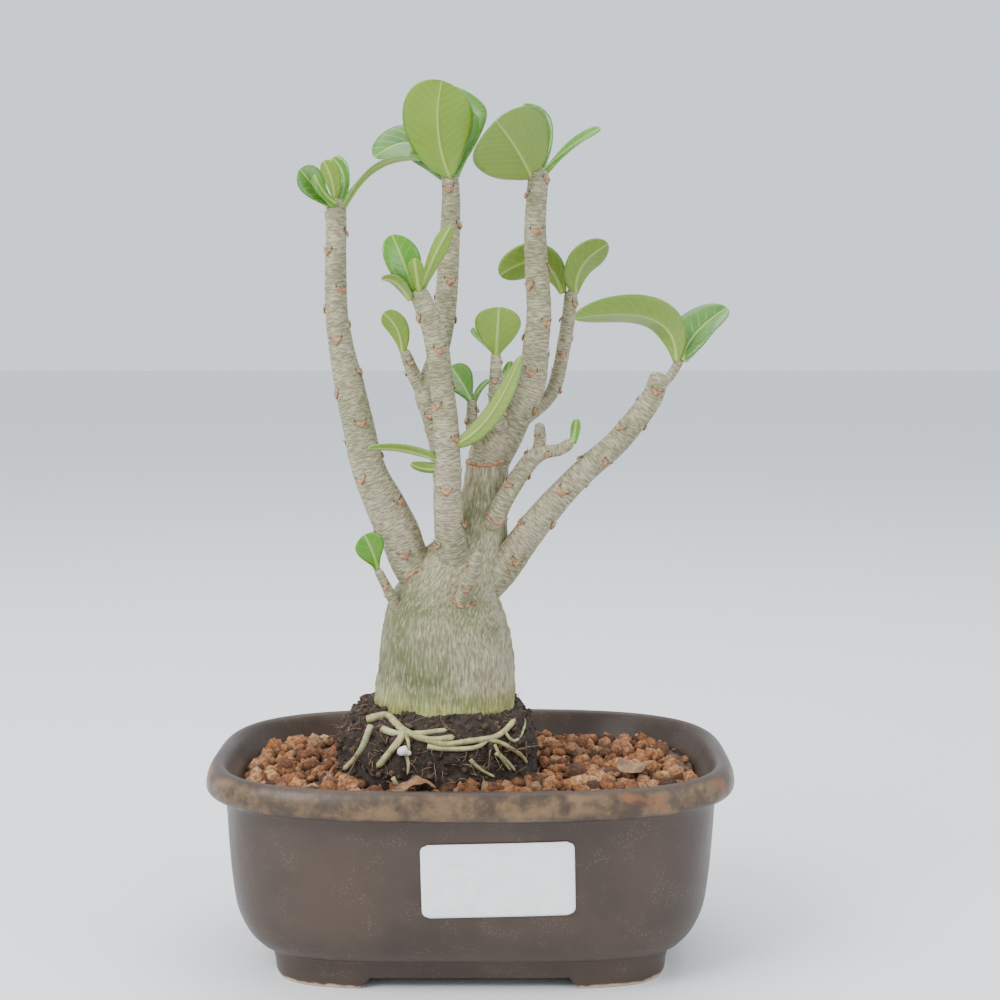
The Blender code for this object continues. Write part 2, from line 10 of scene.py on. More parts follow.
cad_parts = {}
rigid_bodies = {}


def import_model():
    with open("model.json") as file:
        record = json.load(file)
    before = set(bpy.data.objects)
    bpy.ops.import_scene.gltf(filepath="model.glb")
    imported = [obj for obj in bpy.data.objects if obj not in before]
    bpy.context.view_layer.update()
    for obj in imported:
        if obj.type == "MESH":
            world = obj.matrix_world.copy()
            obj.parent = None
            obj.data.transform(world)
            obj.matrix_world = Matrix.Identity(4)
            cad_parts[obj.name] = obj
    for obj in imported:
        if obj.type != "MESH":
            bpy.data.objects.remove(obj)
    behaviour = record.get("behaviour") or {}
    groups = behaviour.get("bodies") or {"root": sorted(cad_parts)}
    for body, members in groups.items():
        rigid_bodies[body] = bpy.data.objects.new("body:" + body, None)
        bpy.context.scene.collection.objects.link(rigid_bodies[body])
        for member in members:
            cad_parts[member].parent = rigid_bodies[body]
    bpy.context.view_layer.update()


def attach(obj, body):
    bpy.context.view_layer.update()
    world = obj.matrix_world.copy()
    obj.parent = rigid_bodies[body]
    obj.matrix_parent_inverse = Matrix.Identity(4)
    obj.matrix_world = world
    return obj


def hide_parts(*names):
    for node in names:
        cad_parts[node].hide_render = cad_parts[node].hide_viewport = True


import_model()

mm = 0.001
rng = np.random.default_rng(11)


def lattice(cells, seed):  # a repeatable value from 0 to 1 for each whole-number cell
    mixed = cells[..., 0] * 374761393 + cells[..., 1] * 668265263  # large primes spread the bits
    mixed = mixed + cells[..., 2] * 2147483647 + seed * 974634777
    mixed = (mixed ^ (mixed >> 13)) * 1274126177
    return ((mixed ^ (mixed >> 16)) & 0xFFFF) / 65535.0


def cloud(points, size, seed=0):
    # value noise from -1 to 1: corners of a grid blended with a smooth step
    scaled = np.asarray(points, float) / size
    cell = np.floor(scaled).astype(np.int64)
    part = scaled - cell
    part = part * part * (3 - 2 * part)
    total = 0
    for corner in range(8):
        step = np.array([corner & 1, corner >> 1 & 1, corner >> 2 & 1])
        weight = np.prod(np.where(step, part, 1 - part), axis=-1)
        total = total + weight * lattice(cell + step, seed)
    return total * 2 - 1


def smoothRoute(points, spacing):
    # a Catmull-Rom curve through rows of any width, sampled about every spacing
    rows = np.array(points, float)
    ends = np.vstack([2 * rows[0] - rows[1], rows, 2 * rows[-1] - rows[-2]])
    out = []
    for i in range(len(rows) - 1):
        a, b, c, d = ends[i:i + 4]
        steps = max(1, round(float(np.linalg.norm((c - b)[:3])) / spacing))
        t = (np.arange(steps) / steps)[:, None]
        square, cube = 2 * a - 5 * b + 4 * c - d, 3 * b - a - 3 * c + d
        out.append(0.5 * (2 * b + (c - a) * t + square * t ** 2 + cube * t ** 3))
    return np.vstack(out + [rows[-1:]])


def ringFaces(rows, columns):  # quads between closed rings of equal length
    i, j = np.meshgrid(np.arange(rows - 1), np.arange(columns), indexing="ij")
    k = (j + 1) % columns
    quads = np.stack([i * columns + j, i * columns + k, (i + 1) * columns + k, (i + 1) * columns + j], -1)
    return quads.reshape(-1, 4)


def sheetFaces(rows, columns):  # quads of an open grid
    i, j = np.meshgrid(np.arange(rows - 1), np.arange(columns - 1), indexing="ij")
    a = i * columns + j
    return np.stack([a, a + 1, a + columns + 1, a + columns], -1).reshape(-1, 4)


def withPoles(rings):  # stacked rings as one list, then the middle of the first and of the last
    return np.vstack([rings.reshape(-1, 3), rings[0].mean(0), rings[-1].mean(0)])


def closeRings(rings):
    # one skin from stacked rings, with a pole at each end; returns points and faces
    rows, columns = rings.shape[:2]
    points = withPoles(rings)
    last = (rows - 1) * columns
    j = np.arange(columns)
    k = (j + 1) % columns
    low = np.stack([k, j, np.full(columns, rows * columns)], -1)
    high = np.stack([j + last, k + last, np.full(columns, rows * columns + 1)], -1)
    return points, ringFaces(rows, columns).tolist() + low.tolist() + high.tolist()


def addPiece(name, points, faces, mat, replaced=(), values=None):
    # a mesh object in metres that rides on the one body, with any point attributes
    mesh = bpy.data.meshes.new(name)
    faces = faces if isinstance(faces, list) else faces.tolist()
    mesh.from_pydata((np.asarray(points) * mm).tolist(), [], faces)
    mesh.update()
    for key, data in (values or {}).items():
        data = np.asarray(data, np.float32)
        kind, field = ("FLOAT_VECTOR", "vector") if data.ndim == 2 else ("FLOAT", "value")
        mesh.attributes.new(key, kind, "POINT").data.foreach_set(field, data.ravel())
    mesh.shade_smooth()
    mesh.materials.append(mat)
    obj = bpy.data.objects.new(name, mesh)
    bpy.context.scene.collection.objects.link(obj)
    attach(obj, "root")
    if replaced:
        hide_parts(*replaced)
    return obj


def oval(halfX, halfY, power, angles):  # a superellipse, by powers of cosine and sine
    c, s = np.cos(angles), np.sin(angles)
    return np.sign(c) * np.abs(c) ** (2 / power) * halfX, np.sign(s) * np.abs(s) ** (2 / power) * halfY


class Nodes:
    # short calls for the nodes used here, in a material's tree or in a shared group's
    def __init__(self, tree):
        self.tree = tree

    def add(self, kind, inputs=None, **settings):
        node = self.tree.nodes.new("ShaderNode" + kind)
        for key, value in settings.items():
            setattr(node, key, value)
        for key, value in (inputs or {}).items():
            if isinstance(value, bpy.types.NodeSocket):
                self.tree.links.new(value, node.inputs[key])
            else:
                node.inputs[key].default_value = value
        return node

    def coords(self, scale=(1, 1, 1), attribute=None):
        if attribute:
            source = self.add("Attribute", attribute_name=attribute).outputs["Vector"]
        else:
            source = self.add("TexCoord").outputs["Object"]
        return self.add("Mapping", {"Vector": source, "Scale": scale}).outputs[0]

    def parts(self, source):  # the three parts of a vector
        return self.add("SeparateXYZ", {0: source}).outputs

    def noise(self, where, scale, detail=4.0, rough=0.55):
        given = {"Vector": where, "Scale": scale, "Detail": detail, "Roughness": rough}
        return self.add("TexNoise", given).outputs["Fac"]

    def cells(self, where, scale):
        return self.add("TexVoronoi", {"Vector": where, "Scale": scale}).outputs["Distance"]

    def ramp(self, value, low, high, start=0.0, end=1.0):
        # a smooth step from start to end as the value goes from low to high
        given = {"Value": value, "From Min": low, "From Max": high, "To Min": start, "To Max": end}
        return self.add("MapRange", given, interpolation_type="SMOOTHSTEP").outputs[0]

    def math(self, operation, first, second=0.0):
        return self.add("Math", {0: first, 1: second}, operation=operation).outputs[0]

    def times(self, first, second):
        return self.math("MULTIPLY", first, second)

    def plus(self, first, second):
        return self.math("ADD", first, second)

    def mix(self, factor, first, second):
        first, second = ((*c, 1) if isinstance(c, tuple) else c for c in (first, second))
        return self.add("Mix", {0: factor, 6: first, 7: second}, data_type="RGBA").outputs[2]

    def place(self, group, inputs):  # a shared effect with this finish's own values
        node = self.add("Group", node_tree=group)
        for key, value in inputs.items():
            if isinstance(value, bpy.types.NodeSocket):
                self.tree.links.new(value, node.inputs[key])
            else:
                node.inputs[key].default_value = value
        return node.outputs


class Finish(Nodes):
    # a new material, with constants set on the shader's own sockets
    def __init__(self, name, roughness, **fixed):
        self.mat = bpy.data.materials.new(name)
        self.mat.use_nodes = True
        super().__init__(self.mat.node_tree)
        self.shader = self.tree.nodes["Principled BSDF"]
        self.shader.inputs["Roughness"].default_value = roughness
        for key, value in fixed.items():
            self.shader.inputs[key.replace("_", " ")].default_value = value

    def join(self, colour, roughness, height, strength, distance):
        self.tree.links.new(colour, self.shader.inputs["Base Color"])
        self.tree.links.new(roughness, self.shader.inputs["Roughness"])
        bump = self.add("Bump", {"Height": height, "Strength": strength, "Distance": distance})
        self.tree.links.new(bump.outputs[0], self.shader.inputs["Normal"])
        return self.mat


def sharedEffect(name, inputs, outputs, fill):
    # a node group built once: fill turns the group's input sockets into its outputs
    group = bpy.data.node_groups.new(name, "ShaderNodeTree")
    for side, sockets in (("INPUT", inputs), ("OUTPUT", outputs)):
        for key, kind in sockets.items():
            group.interface.new_socket(key, in_out=side, socket_type="NodeSocket" + kind)
    given = group.nodes.new("NodeGroupInput").outputs
    result = group.nodes.new("NodeGroupOutput").inputs
    for key, value in fill(Nodes(group), given).items():
        group.links.new(value, result[key])
    return group


def grainEffect():
    # cloudy noise, and the same noise as a mask between two colours
    def fill(n, given):
        grain = n.noise(given["Place"], given["Scale"], 6, 0.65)
        return {"Grain": grain, "Mask": n.ramp(grain, 0.3, 0.7)}
    inputs, outputs = {"Place": "Vector", "Scale": "Float"}, {"Grain": "Float", "Mask": "Float"}
    return sharedEffect("grain", inputs, outputs, fill)


def wrinkleEffect():
    # wrinkled bark: stretched noise makes the wrinkles, with painted shade darkening their hollows and a
    # painted highlight paling their ridges, and three sizes of noise mix the dark base tone (shade), pale
    # bark, green and brown
    def fill(n, given):
        ripple = n.noise(given["Ripple Place"], given["Ripple Scale"], 3, 0.5)
        broad = n.noise(given["Straight"], 55, 5, 0.6)
        fine = n.noise(given["Fine Place"], 1500, 4, 0.6)
        tone = n.mix(n.ramp(fine, 0.3, 0.7), bark["shade"], given["Pale"])
        tone = n.mix(n.times(n.ramp(broad, 0.40, 0.60), given["Green"]), tone, bark["green"])
        brown = n.times(n.ramp(n.noise(given["Straight"], 160, 3), 0.58, 0.75), 0.35)
        return {"Tone": n.mix(brown, tone, bark["brown"]), "Broad": broad, "Fine": fine,
                # the ripple's low places get painted shade and its high places a painted highlight
                "ShadeInHollows": n.times(n.ramp(ripple, 0.40, 0.52, 1.0, 0.0), 0.50),
                "HighlightOnRidges": n.times(n.ramp(ripple, 0.54, 0.66), 0.35),
                "Relief": n.plus(n.times(fine, 0.4), n.times(ripple, 1.6))}
    inputs = {"Straight": "Vector", "Fine Place": "Vector", "Ripple Place": "Vector",
              "Ripple Scale": "Float", "Green": "Float", "Pale": "Color"}
    outputs = {"Tone": "Color", "Broad": "Float", "Fine": "Float", "ShadeInHollows": "Float",
               "HighlightOnRidges": "Float", "Relief": "Float"}
    return sharedEffect("barkWrinkles", inputs, outputs, fill)


glaze = dict(
    body=((0.040, 0.024, 0.016), (0.060, 0.038, 0.027)), speck=(0.20, 0.165, 0.14), pit=(0.04, 0.03, 0.028),
    ochre=((0.050, 0.031, 0.019), (0.19, 0.115, 0.055)), rust=(0.22, 0.075, 0.025),
    bareClay=((0.42, 0.27, 0.17), (0.62, 0.48, 0.36)),
    lip=(0.0492, 0.0512, 0.0555, 0.0580),  # heights where the ochre starts, is full, thins and ends
    lipHalfX=0.0715, lipHalfY=0.0497, lipPower=3.2)


def glazeFinish():
    n = Finish("speckledGlaze", 0.5, Coat_Weight=0.10, Coat_Roughness=0.35, Specular_IOR_Level=0.35)
    here = n.coords()
    x, y, height = n.parts(n.add("TexCoord").outputs["Object"])
    mottle = n.noise(here, 38, 6, 0.6)
    fine = n.noise(here, 420, 3)
    body = n.mix(n.ramp(mottle, 0.35, 0.68), *glaze["body"])
    specks = n.ramp(n.cells(here, 1400), 0.16, 0.34, 1.0, 0.0)
    specks = n.times(specks, n.ramp(n.noise(here, 150, 2), 0.50, 0.62))
    body = n.mix(n.times(specks, 0.30), body, glaze["speck"])
    pits = n.ramp(n.cells(here, 520), 0.05, 0.12, 1.0, 0.0)
    body = n.mix(n.times(pits, 0.5), body, glaze["pit"])
    edge = n.plus(height, n.times(n.math("SUBTRACT", n.noise(here, 90, 4), 0.5), 0.006))
    reachX, reachY = (n.math("POWER", n.math("ABSOLUTE", n.math("DIVIDE", value, half)), glaze["lipPower"])
                      for value, half in ((x, glaze["lipHalfX"]), (y, glaze["lipHalfY"])))
    outer = n.ramp(n.plus(reachX, reachY), 0.94, 1.02)  # only the lip's outer face
    start, full, thins, ends = glaze["lip"]
    lip = n.times(n.ramp(edge, start, full), n.times(n.ramp(edge, thins, ends, 1.0, 0.2), outer))
    ochre = n.mix(n.ramp(n.noise(here, 130, 6, 0.65), 0.38, 0.66), *glaze["ochre"])
    body = n.mix(n.times(lip, 0.85), body, ochre)
    rust = n.times(lip, n.ramp(n.noise(here, 75, 3), 0.62, 0.70))
    body = n.mix(n.times(rust, 0.7), body, glaze["rust"])
    bare = n.ramp(n.plus(height, n.times(n.noise(here, 240, 3), 0.002)), 0.0014, 0.0022, 1.0, 0.0)
    body = n.mix(bare, body, n.mix(fine, *glaze["bareClay"]))
    roughness = n.math("MAXIMUM", n.ramp(mottle, 0.3, 0.7, 0.36, 0.56), n.times(bare, 0.9))
    bumps = n.plus(n.times(fine, 0.5), n.times(mottle, 1.2))
    return n.join(body, roughness, n.math("SUBTRACT", bumps, pits), 0.35, 0.0003)


bark = dict(
    shade=(0.28, 0.235, 0.14), green=(0.15, 0.175, 0.060), brown=(0.36, 0.27, 0.18),
    # the crease colour is painted shade in the wrinkles' hollows, and the ridge colour is a painted highlight
    # on their raised tops
    creaseShade=(0.09, 0.085, 0.035), ridge=(0.60, 0.54, 0.38),
    deepGreen=(0.085, 0.115, 0.028), foot=(0.32, 0.34, 0.07),
    caudex=dict(pale=(0.46, 0.41, 0.28), greenShare=0.75, ripple=1900,
                fineStretch=(1, 1, 0.28), rippleStretch=(1, 1, 0.16)),
    branch=dict(pale=(0.44, 0.39, 0.265), greenShare=0.5, ripple=2300,
                fineStretch=(0.35, 0.35, 1.3), rippleStretch=(0.22, 0.22, 1.0)))


def barkFinish(part, wrinkles):
    # the caudex wrinkles lengthwise, the branches crosswise
    look = bark[part]
    n = Finish(part + "Bark", 0.72)
    skin = n.place(wrinkles, {
        "Straight": n.coords(attribute="straight"), "Fine Place": n.coords(look["fineStretch"], "straight"),
        "Ripple Place": n.coords(look["rippleStretch"], "straight"), "Ripple Scale": look["ripple"],
        "Green": look["greenShare"], "Pale": (*look["pale"], 1)})
    tone = skin["Tone"]
    if part == "caudex":  # greener on the left, and a yellow-green foot where light didn't reach
        x, _, height = n.parts(n.add("TexCoord").outputs["Object"])
        left = n.ramp(x, -0.024, 0.006, 1.0, 0.0)
        low = n.times(n.ramp(height, 0.070, 0.080), n.ramp(height, 0.098, 0.114, 1.0, 0.0))
        patchy = n.ramp(skin["Broad"], 0.2, 0.55, 0.35, 0.85)
        tone = n.mix(n.times(n.times(left, low), patchy), tone, bark["deepGreen"])
        foot = n.ramp(n.plus(height, n.times(skin["Broad"], 0.006)), 0.072, 0.081, 1.0, 0.0)
        tone = n.mix(n.times(foot, 0.8), tone, bark["foot"])
    # painted shade darkens the wrinkle hollows and a painted highlight lightens the wrinkle ridges, both
    # following the bump's relief
    tone = n.mix(skin["ShadeInHollows"], tone, bark["creaseShade"])
    tone = n.mix(skin["HighlightOnRidges"], tone, bark["ridge"])
    return n.join(tone, n.ramp(skin["Fine"], 0.2, 0.8, 0.62, 0.82), skin["Relief"], 0.8, 0.0005)


foliage = dict(  # each pair is the dull colour, then the fresh one
    top=((0.060, 0.150, 0.040), (0.070, 0.240, 0.003)), topMottle=(0.12, 0.30, 0.008),
    under=((0.165, 0.235, 0.045), (0.150, 0.260, 0.003)), underMottle=(0.20, 0.30, 0.02),
    vein=(0.40, 0.52, 0.18), midrib=(0.42, 0.52, 0.14), rim=(0.55, 0.60, 0.28), veinPace=2.7)


def leafFinish():
    # side veins are a sine wave slanting away from the midrib; blade holds each point's
    # way along and across the leaf, side holds upper or under, tone and nearness to the rim
    n = Finish("livingLeaf", 0.34, Subsurface_Weight=0.06, Subsurface_Scale=0.004, Coat_Weight=0.12,
               Coat_Roughness=0.25, Subsurface_Radius=(0.3, 0.6, 0.1))
    along, across, _ = n.parts(n.add("Attribute", attribute_name="blade").outputs["Vector"])
    upper, tone, rim = n.parts(n.add("Attribute", attribute_name="side").outputs["Vector"])
    away = n.math("ABSOLUTE", across)
    here = n.coords()
    slanted = n.math("SUBTRACT", along, n.times(away, 0.75))
    wobble = n.times(n.noise(here, 140, 2), 1.2)
    wave = n.math("SINE", n.plus(n.times(slanted, foliage["veinPace"]), wobble))
    veins = n.times(n.ramp(wave, 0.86, 1.0), n.ramp(away, 0.3, 1.0))
    midrib = n.ramp(n.plus(away, n.times(along, 0.010)), 0.28, 0.55, 1.0, 0.0)
    mottle = n.noise(here, 220, 4)
    top = n.mix(n.ramp(mottle, 0.35, 0.7, 0.0, 0.5), n.mix(tone, *foliage["top"]), foliage["topMottle"])
    under = n.mix(tone, *foliage["under"])
    under = n.mix(n.ramp(mottle, 0.35, 0.7, 0.0, 0.35), under, foliage["underMottle"])
    skin = n.mix(upper, under, top)
    skin = n.mix(n.times(veins, 0.16), skin, foliage["vein"])
    skin = n.mix(n.times(midrib, 0.6), skin, foliage["midrib"])
    skin = n.mix(n.times(n.ramp(rim, 0.95, 1.0), 0.35), skin, foliage["rim"])
    roughness = n.math("SUBTRACT", 0.50, n.times(upper, 0.27))  # the upper side is glossier
    return n.join(skin, roughness, n.plus(n.times(veins, -1.0), n.times(mottle, 0.6)), 0.35, 0.0003)


plainFinishes = {  # dark colour, pale colour, grain, roughness, bump strength, bump depth, own tint
    "labelPaper": ((0.78, 0.78, 0.77), (0.86, 0.86, 0.85), 300, 0.5, 0.1, 0.0004, False),
    "peat": ((0.012, 0.008, 0.006), (0.060, 0.040, 0.026), 900, 0.95, 1.0, 0.0008, True),
    "crumbs": ((0.12, 0.07, 0.04), (0.48, 0.31, 0.20), 900, 0.92, 1.0, 0.0009, True),
    "rootSkin": ((0.22, 0.22, 0.10), (0.46, 0.43, 0.24), 400, 0.6, 0.4, 0.0004, False),
    "fineRootSkin": ((0.20, 0.19, 0.07), (0.46, 0.42, 0.20), 500, 0.6, 0.6, 0.0004, False),
    "peatHair": ((0.10, 0.05, 0.03), (0.34, 0.22, 0.13), 500, 0.8, 0.3, 0.0004, False),
    "perlite": ((0.62, 0.56, 0.50), (0.85, 0.80, 0.75), 700, 0.9, 0.5, 0.0004, False),
    "dryLeaf": ((0.10, 0.045, 0.02), (0.30, 0.17, 0.08), 300, 0.6, 0.5, 0.0004, False),
    "scarTissue": ((0.20, 0.075, 0.035), (0.56, 0.30, 0.16), 900, 0.85, 0.8, 0.0004, False),
    "driedBristle": ((0.03, 0.015, 0.012), (0.10, 0.05, 0.04), 900, 0.8, 0.3, 0.0004, False)}


def plainFinish(name, grainGroup):
    # two colours mixed by the shared grain, and multiplied by the tint attribute: each crumb's own tint, and
    # a painted shade on the bed's sheet under the crumbs
    dark, pale, scale, roughness, strength, distance, tinted = plainFinishes[name]
    n = Finish(name, roughness)
    grain = n.place(grainGroup, {"Place": n.coords(), "Scale": scale})
    skin = n.mix(grain["Mask"], dark, pale)
    if tinted:
        own = n.add("Attribute", attribute_name="tint").outputs["Color"]
        skin = n.add("Mix", {0: 1.0, 6: own, 7: skin}, data_type="RGBA", blend_type="MULTIPLY").outputs[2]
    rough = n.ramp(grain["Grain"], 0.2, 0.8, roughness * 0.9, min(1.0, roughness * 1.1))
    return n.join(skin, rough, grain["Grain"], strength, distance)


pot = dict(
    segments=224, footHeight=3.2, footGapX=28, footGapY=16,
    # each ring: height, half width, half depth, superellipse power
    underside=[(5, 20, 12, 3), (5, 47.4, 29.2, 5), (3.6, 48.4, 30.2, 5), (0.2, 49, 30.8, 5)],
    outside=[(0, 50, 31.8, 5), (0, 53.2, 34.8, 5), (0.6, 54, 35.5, 5), (4, 54.4, 35.8, 5),
        (7.2, 55.6, 36.8, 4.6), (8.3, 56.6, 37.6, 4.5), (8.9, 58.6, 39, 4.2), (9.6, 59.6, 39.8, 4.1),
        (12.5, 62.4, 41.9, 3.8), (18, 65, 43.7, 3.6), (26, 66.3, 44.8, 3.5), (36, 67.2, 45.6, 3.4),
        (45, 67.8, 46.2, 3.3), (48.4, 68.3, 46.7, 3.3), (49.3, 69.4, 47.8, 3.25),
        (49.7, 71.4, 49.7, 3.2), (50.7, 72.8, 50.9, 3.2), (52, 73.15, 51.25, 3.2),
        (54.4, 72.7, 50.9, 3.2), (56.4, 71.6, 49.9, 3.2), (57.3, 70.3, 48.9, 3.2),
        (57.5, 69.5, 48.3, 3.2)],
    inside=[(57.2, 68.7, 47.6, 3.2), (56, 67.7, 46.7, 3.2), (53, 66.2, 45.3, 3.2), (49, 64, 43.2, 3.3),
        (44, 63, 42.2, 3.3), (30, 61.5, 40.5, 3.4), (13, 57.5, 37.2, 3.7), (9.8, 53, 33.4, 4.2),
        (9.8, 20, 12, 3)])


def buildPot(mat):
    # superellipse rings up the outside, over the lip and down inside; the foot ring's
    # lowest stretch is lifted between the corners, which leaves four feet
    stretches = (("underside", 1.2), ("outside", 0.7), ("inside", 1.2))
    rows = np.vstack([smoothRoute(pot[part], step) for part, step in stretches])
    angles = np.linspace(0, 2 * math.pi, pot["segments"], endpoint=False)
    x, y = oval(rows[:, 1:2], rows[:, 2:3], rows[:, 3:4], angles[None, :])
    z = np.repeat(rows[:, :1], len(angles), 1)
    gapX = 1 - np.clip((np.abs(x) - pot["footGapX"] + 1) / 2, 0, 1)
    gapY = 1 - np.clip((np.abs(y) - pot["footGapY"] + 1) / 2, 0, 1)
    gap = np.maximum(gapX, gapY)
    lifted = np.maximum(z, pot["footHeight"] * gap * gap * (3 - 2 * gap))
    rings = np.stack([x, y, lifted], -1)
    rings[..., :2] *= 1 + 0.0012 * cloud(rings, 22, 5)[..., None] * (rings[..., 2:] < 48)
    points, faces = closeRings(rings)
    return addPiece("bonsai_pot_glaze", points, faces, mat, ["bonsai_pot"])


def potFace(x, z):  # where the pot's front wall stands, from the same rings as the pot
    rows = np.array(pot["outside"][3:])
    halfX, halfY, power = (np.interp(z, rows[:, 0], rows[:, k]) for k in (1, 2, 3))
    return -halfY * (1 - np.abs(x / halfX) ** power) ** (1 / power)


label = dict(size=(40.0, 20.0), centre=(7.6, 33.2), tilt=math.radians(1.3), corner=2.0, thick=0.12, lift=0.30)


def buildLabel(mat):
    # a rounded rectangle: each grid row is pulled in near the corners by a quarter circle
    columns, rows = 61, 31
    across, up = np.meshgrid(np.linspace(-0.5, 0.5, columns), np.linspace(-0.5, 0.5, rows))
    across, up = across * label["size"][0], up * label["size"][1]
    over = np.clip(np.abs(up) - (label["size"][1] / 2 - label["corner"]), 0, None)
    pull = label["corner"] - np.sqrt(np.clip(label["corner"] ** 2 - over ** 2, 0, None))
    across = across * (1 - 2 * pull / label["size"][0])
    c, s = math.cos(label["tilt"]), math.sin(label["tilt"])
    x = label["centre"][0] + across * c - up * s
    z = label["centre"][1] + across * s + up * c
    points = np.stack([x, potFace(x, z) - label["lift"], z], -1).reshape(-1, 3)
    piece = addPiece("blank_label_paper", points, sheetFaces(rows, columns), mat, ["blank_label"])
    sheet = piece.modifiers.new("sheet", "SOLIDIFY")
    sheet.thickness = label["thick"] * mm
    sheet.offset = 1
    return piece


def crumbShapes(places, sizes, seed):
    # many rough stones: one small ball, stretched, turned and dented for each place
    seedRandom = np.random.default_rng(seed)
    cell = bmesh.new()
    bmesh.ops.create_icosphere(cell, subdivisions=2 if len(places) < 300 else 1, radius=1)
    cell.verts.ensure_lookup_table()
    unit = np.array([v.co[:] for v in cell.verts])
    tris = np.array([[v.index for v in f.verts] for f in cell.faces])
    cell.free()
    count = len(places)
    stretch = seedRandom.uniform(0.65, 1.2, (count, 1, 3))
    dents = 1 + seedRandom.uniform(-0.24, 0.18, (count, len(unit), 1))
    turn, _ = np.linalg.qr(seedRandom.normal(size=(count, 3, 3)))
    turn[:, :, 0] *= np.sign(np.linalg.det(turn))[:, None]
    body = np.einsum("nij,nkj->nki", turn, unit[None] * stretch * dents)
    points = body * sizes[:, None, None] + places[:, None, :]
    faces = tris[None] + (np.arange(count) * len(unit))[:, None, None]
    return points.reshape(-1, 3), faces.reshape(-1, 3), len(unit)


ball = dict(centre=(-9.5, 4.0), power=2.6, crumbs=1500,
            rings=[(40.0, 27.6, 26.0), (46.0, 28.2, 26.8), (52.0, 28.6, 27.2), (60.0, 27.8, 26.4),
                   (65.5, 26.0, 24.6), (68.6, 22.6, 21.2), (69.8, 15.0, 14.0), (69.9, 5.0, 4.6)])


def ballShape(angles, rows):
    # superellipse rings moved out from the ball's middle by three sizes of noise
    x, y = oval(rows[:, 1:2], rows[:, 2:3], ball["power"], angles[None, :])
    z = np.repeat(rows[:, :1], len(angles), 1)
    rings = np.stack([x + ball["centre"][0], y + ball["centre"][1], z], -1)
    bumps = 0.8 * cloud(rings, 7.0, 3) + 0.7 * cloud(rings, 2.8, 4) + 0.45 * cloud(rings, 1.2, 8)
    out = rings - np.array([ball["centre"][0], ball["centre"][1], 52])
    out /= np.linalg.norm(out, axis=-1, keepdims=True)
    return rings + out * (bumps * 1.3 - 0.5)[..., None]


def buildBall(mat):
    # the peat plug: rounded rings pushed in and out by three sizes of noise, with
    # loose crumbs of peat lying on it
    rows = smoothRoute(ball["rings"], 0.9)
    angles = np.linspace(0, 2 * math.pi, 170, endpoint=False)
    rings = ballShape(angles, rows)
    points, faces = closeRings(rings)
    spots = rings[4:].reshape(-1, 3)
    chosen = spots[rng.choice(len(spots), ball["crumbs"])]
    sizes = rng.uniform(0.35, 1.15, len(chosen))
    crumbs, crumbFaces, each = crumbShapes(chosen, sizes, 21)
    tint = np.ones((len(points), 3)) * 0.85
    crumbTint = np.repeat(rng.uniform(0.4, 2.6, (len(chosen), 1)) * [1.0, 0.85, 0.75], each, 0)
    allFaces = faces + (crumbFaces + len(points)).tolist()
    return addPiece("root_ball_peat", np.vstack([points, crumbs]), allFaces, mat, ["root_ball"],
                    {"tint": np.vstack([tint, crumbTint])})


bed = dict(
    top=51.3, halfX=65.6, halfY=45.0, power=3.2, wallGap=2.2, ballHalf=(27.5, 26.0), crumbs=1150,
    sizes=(1.1, 1.5, 2.0, 2.6, 3.1), sizeShares=(0.28, 0.27, 0.22, 0.15, 0.08),
    tints=((0.95, 0.66, 0.42), (0.70, 0.42, 0.22), (0.42, 0.25, 0.14), (1.15, 0.92, 0.66),
           (0.22, 0.15, 0.10), (0.62, 0.52, 0.40)),
    tintShares=(0.26, 0.26, 0.2, 0.12, 0.1, 0.06))


def bedHeight(x, y):  # a level bed with two sizes of soft waves
    where = np.stack([x, y, np.zeros_like(x)], -1)
    return bed["top"] + 0.8 * cloud(where, 9, 31) + 0.5 * cloud(where, 4, 32)


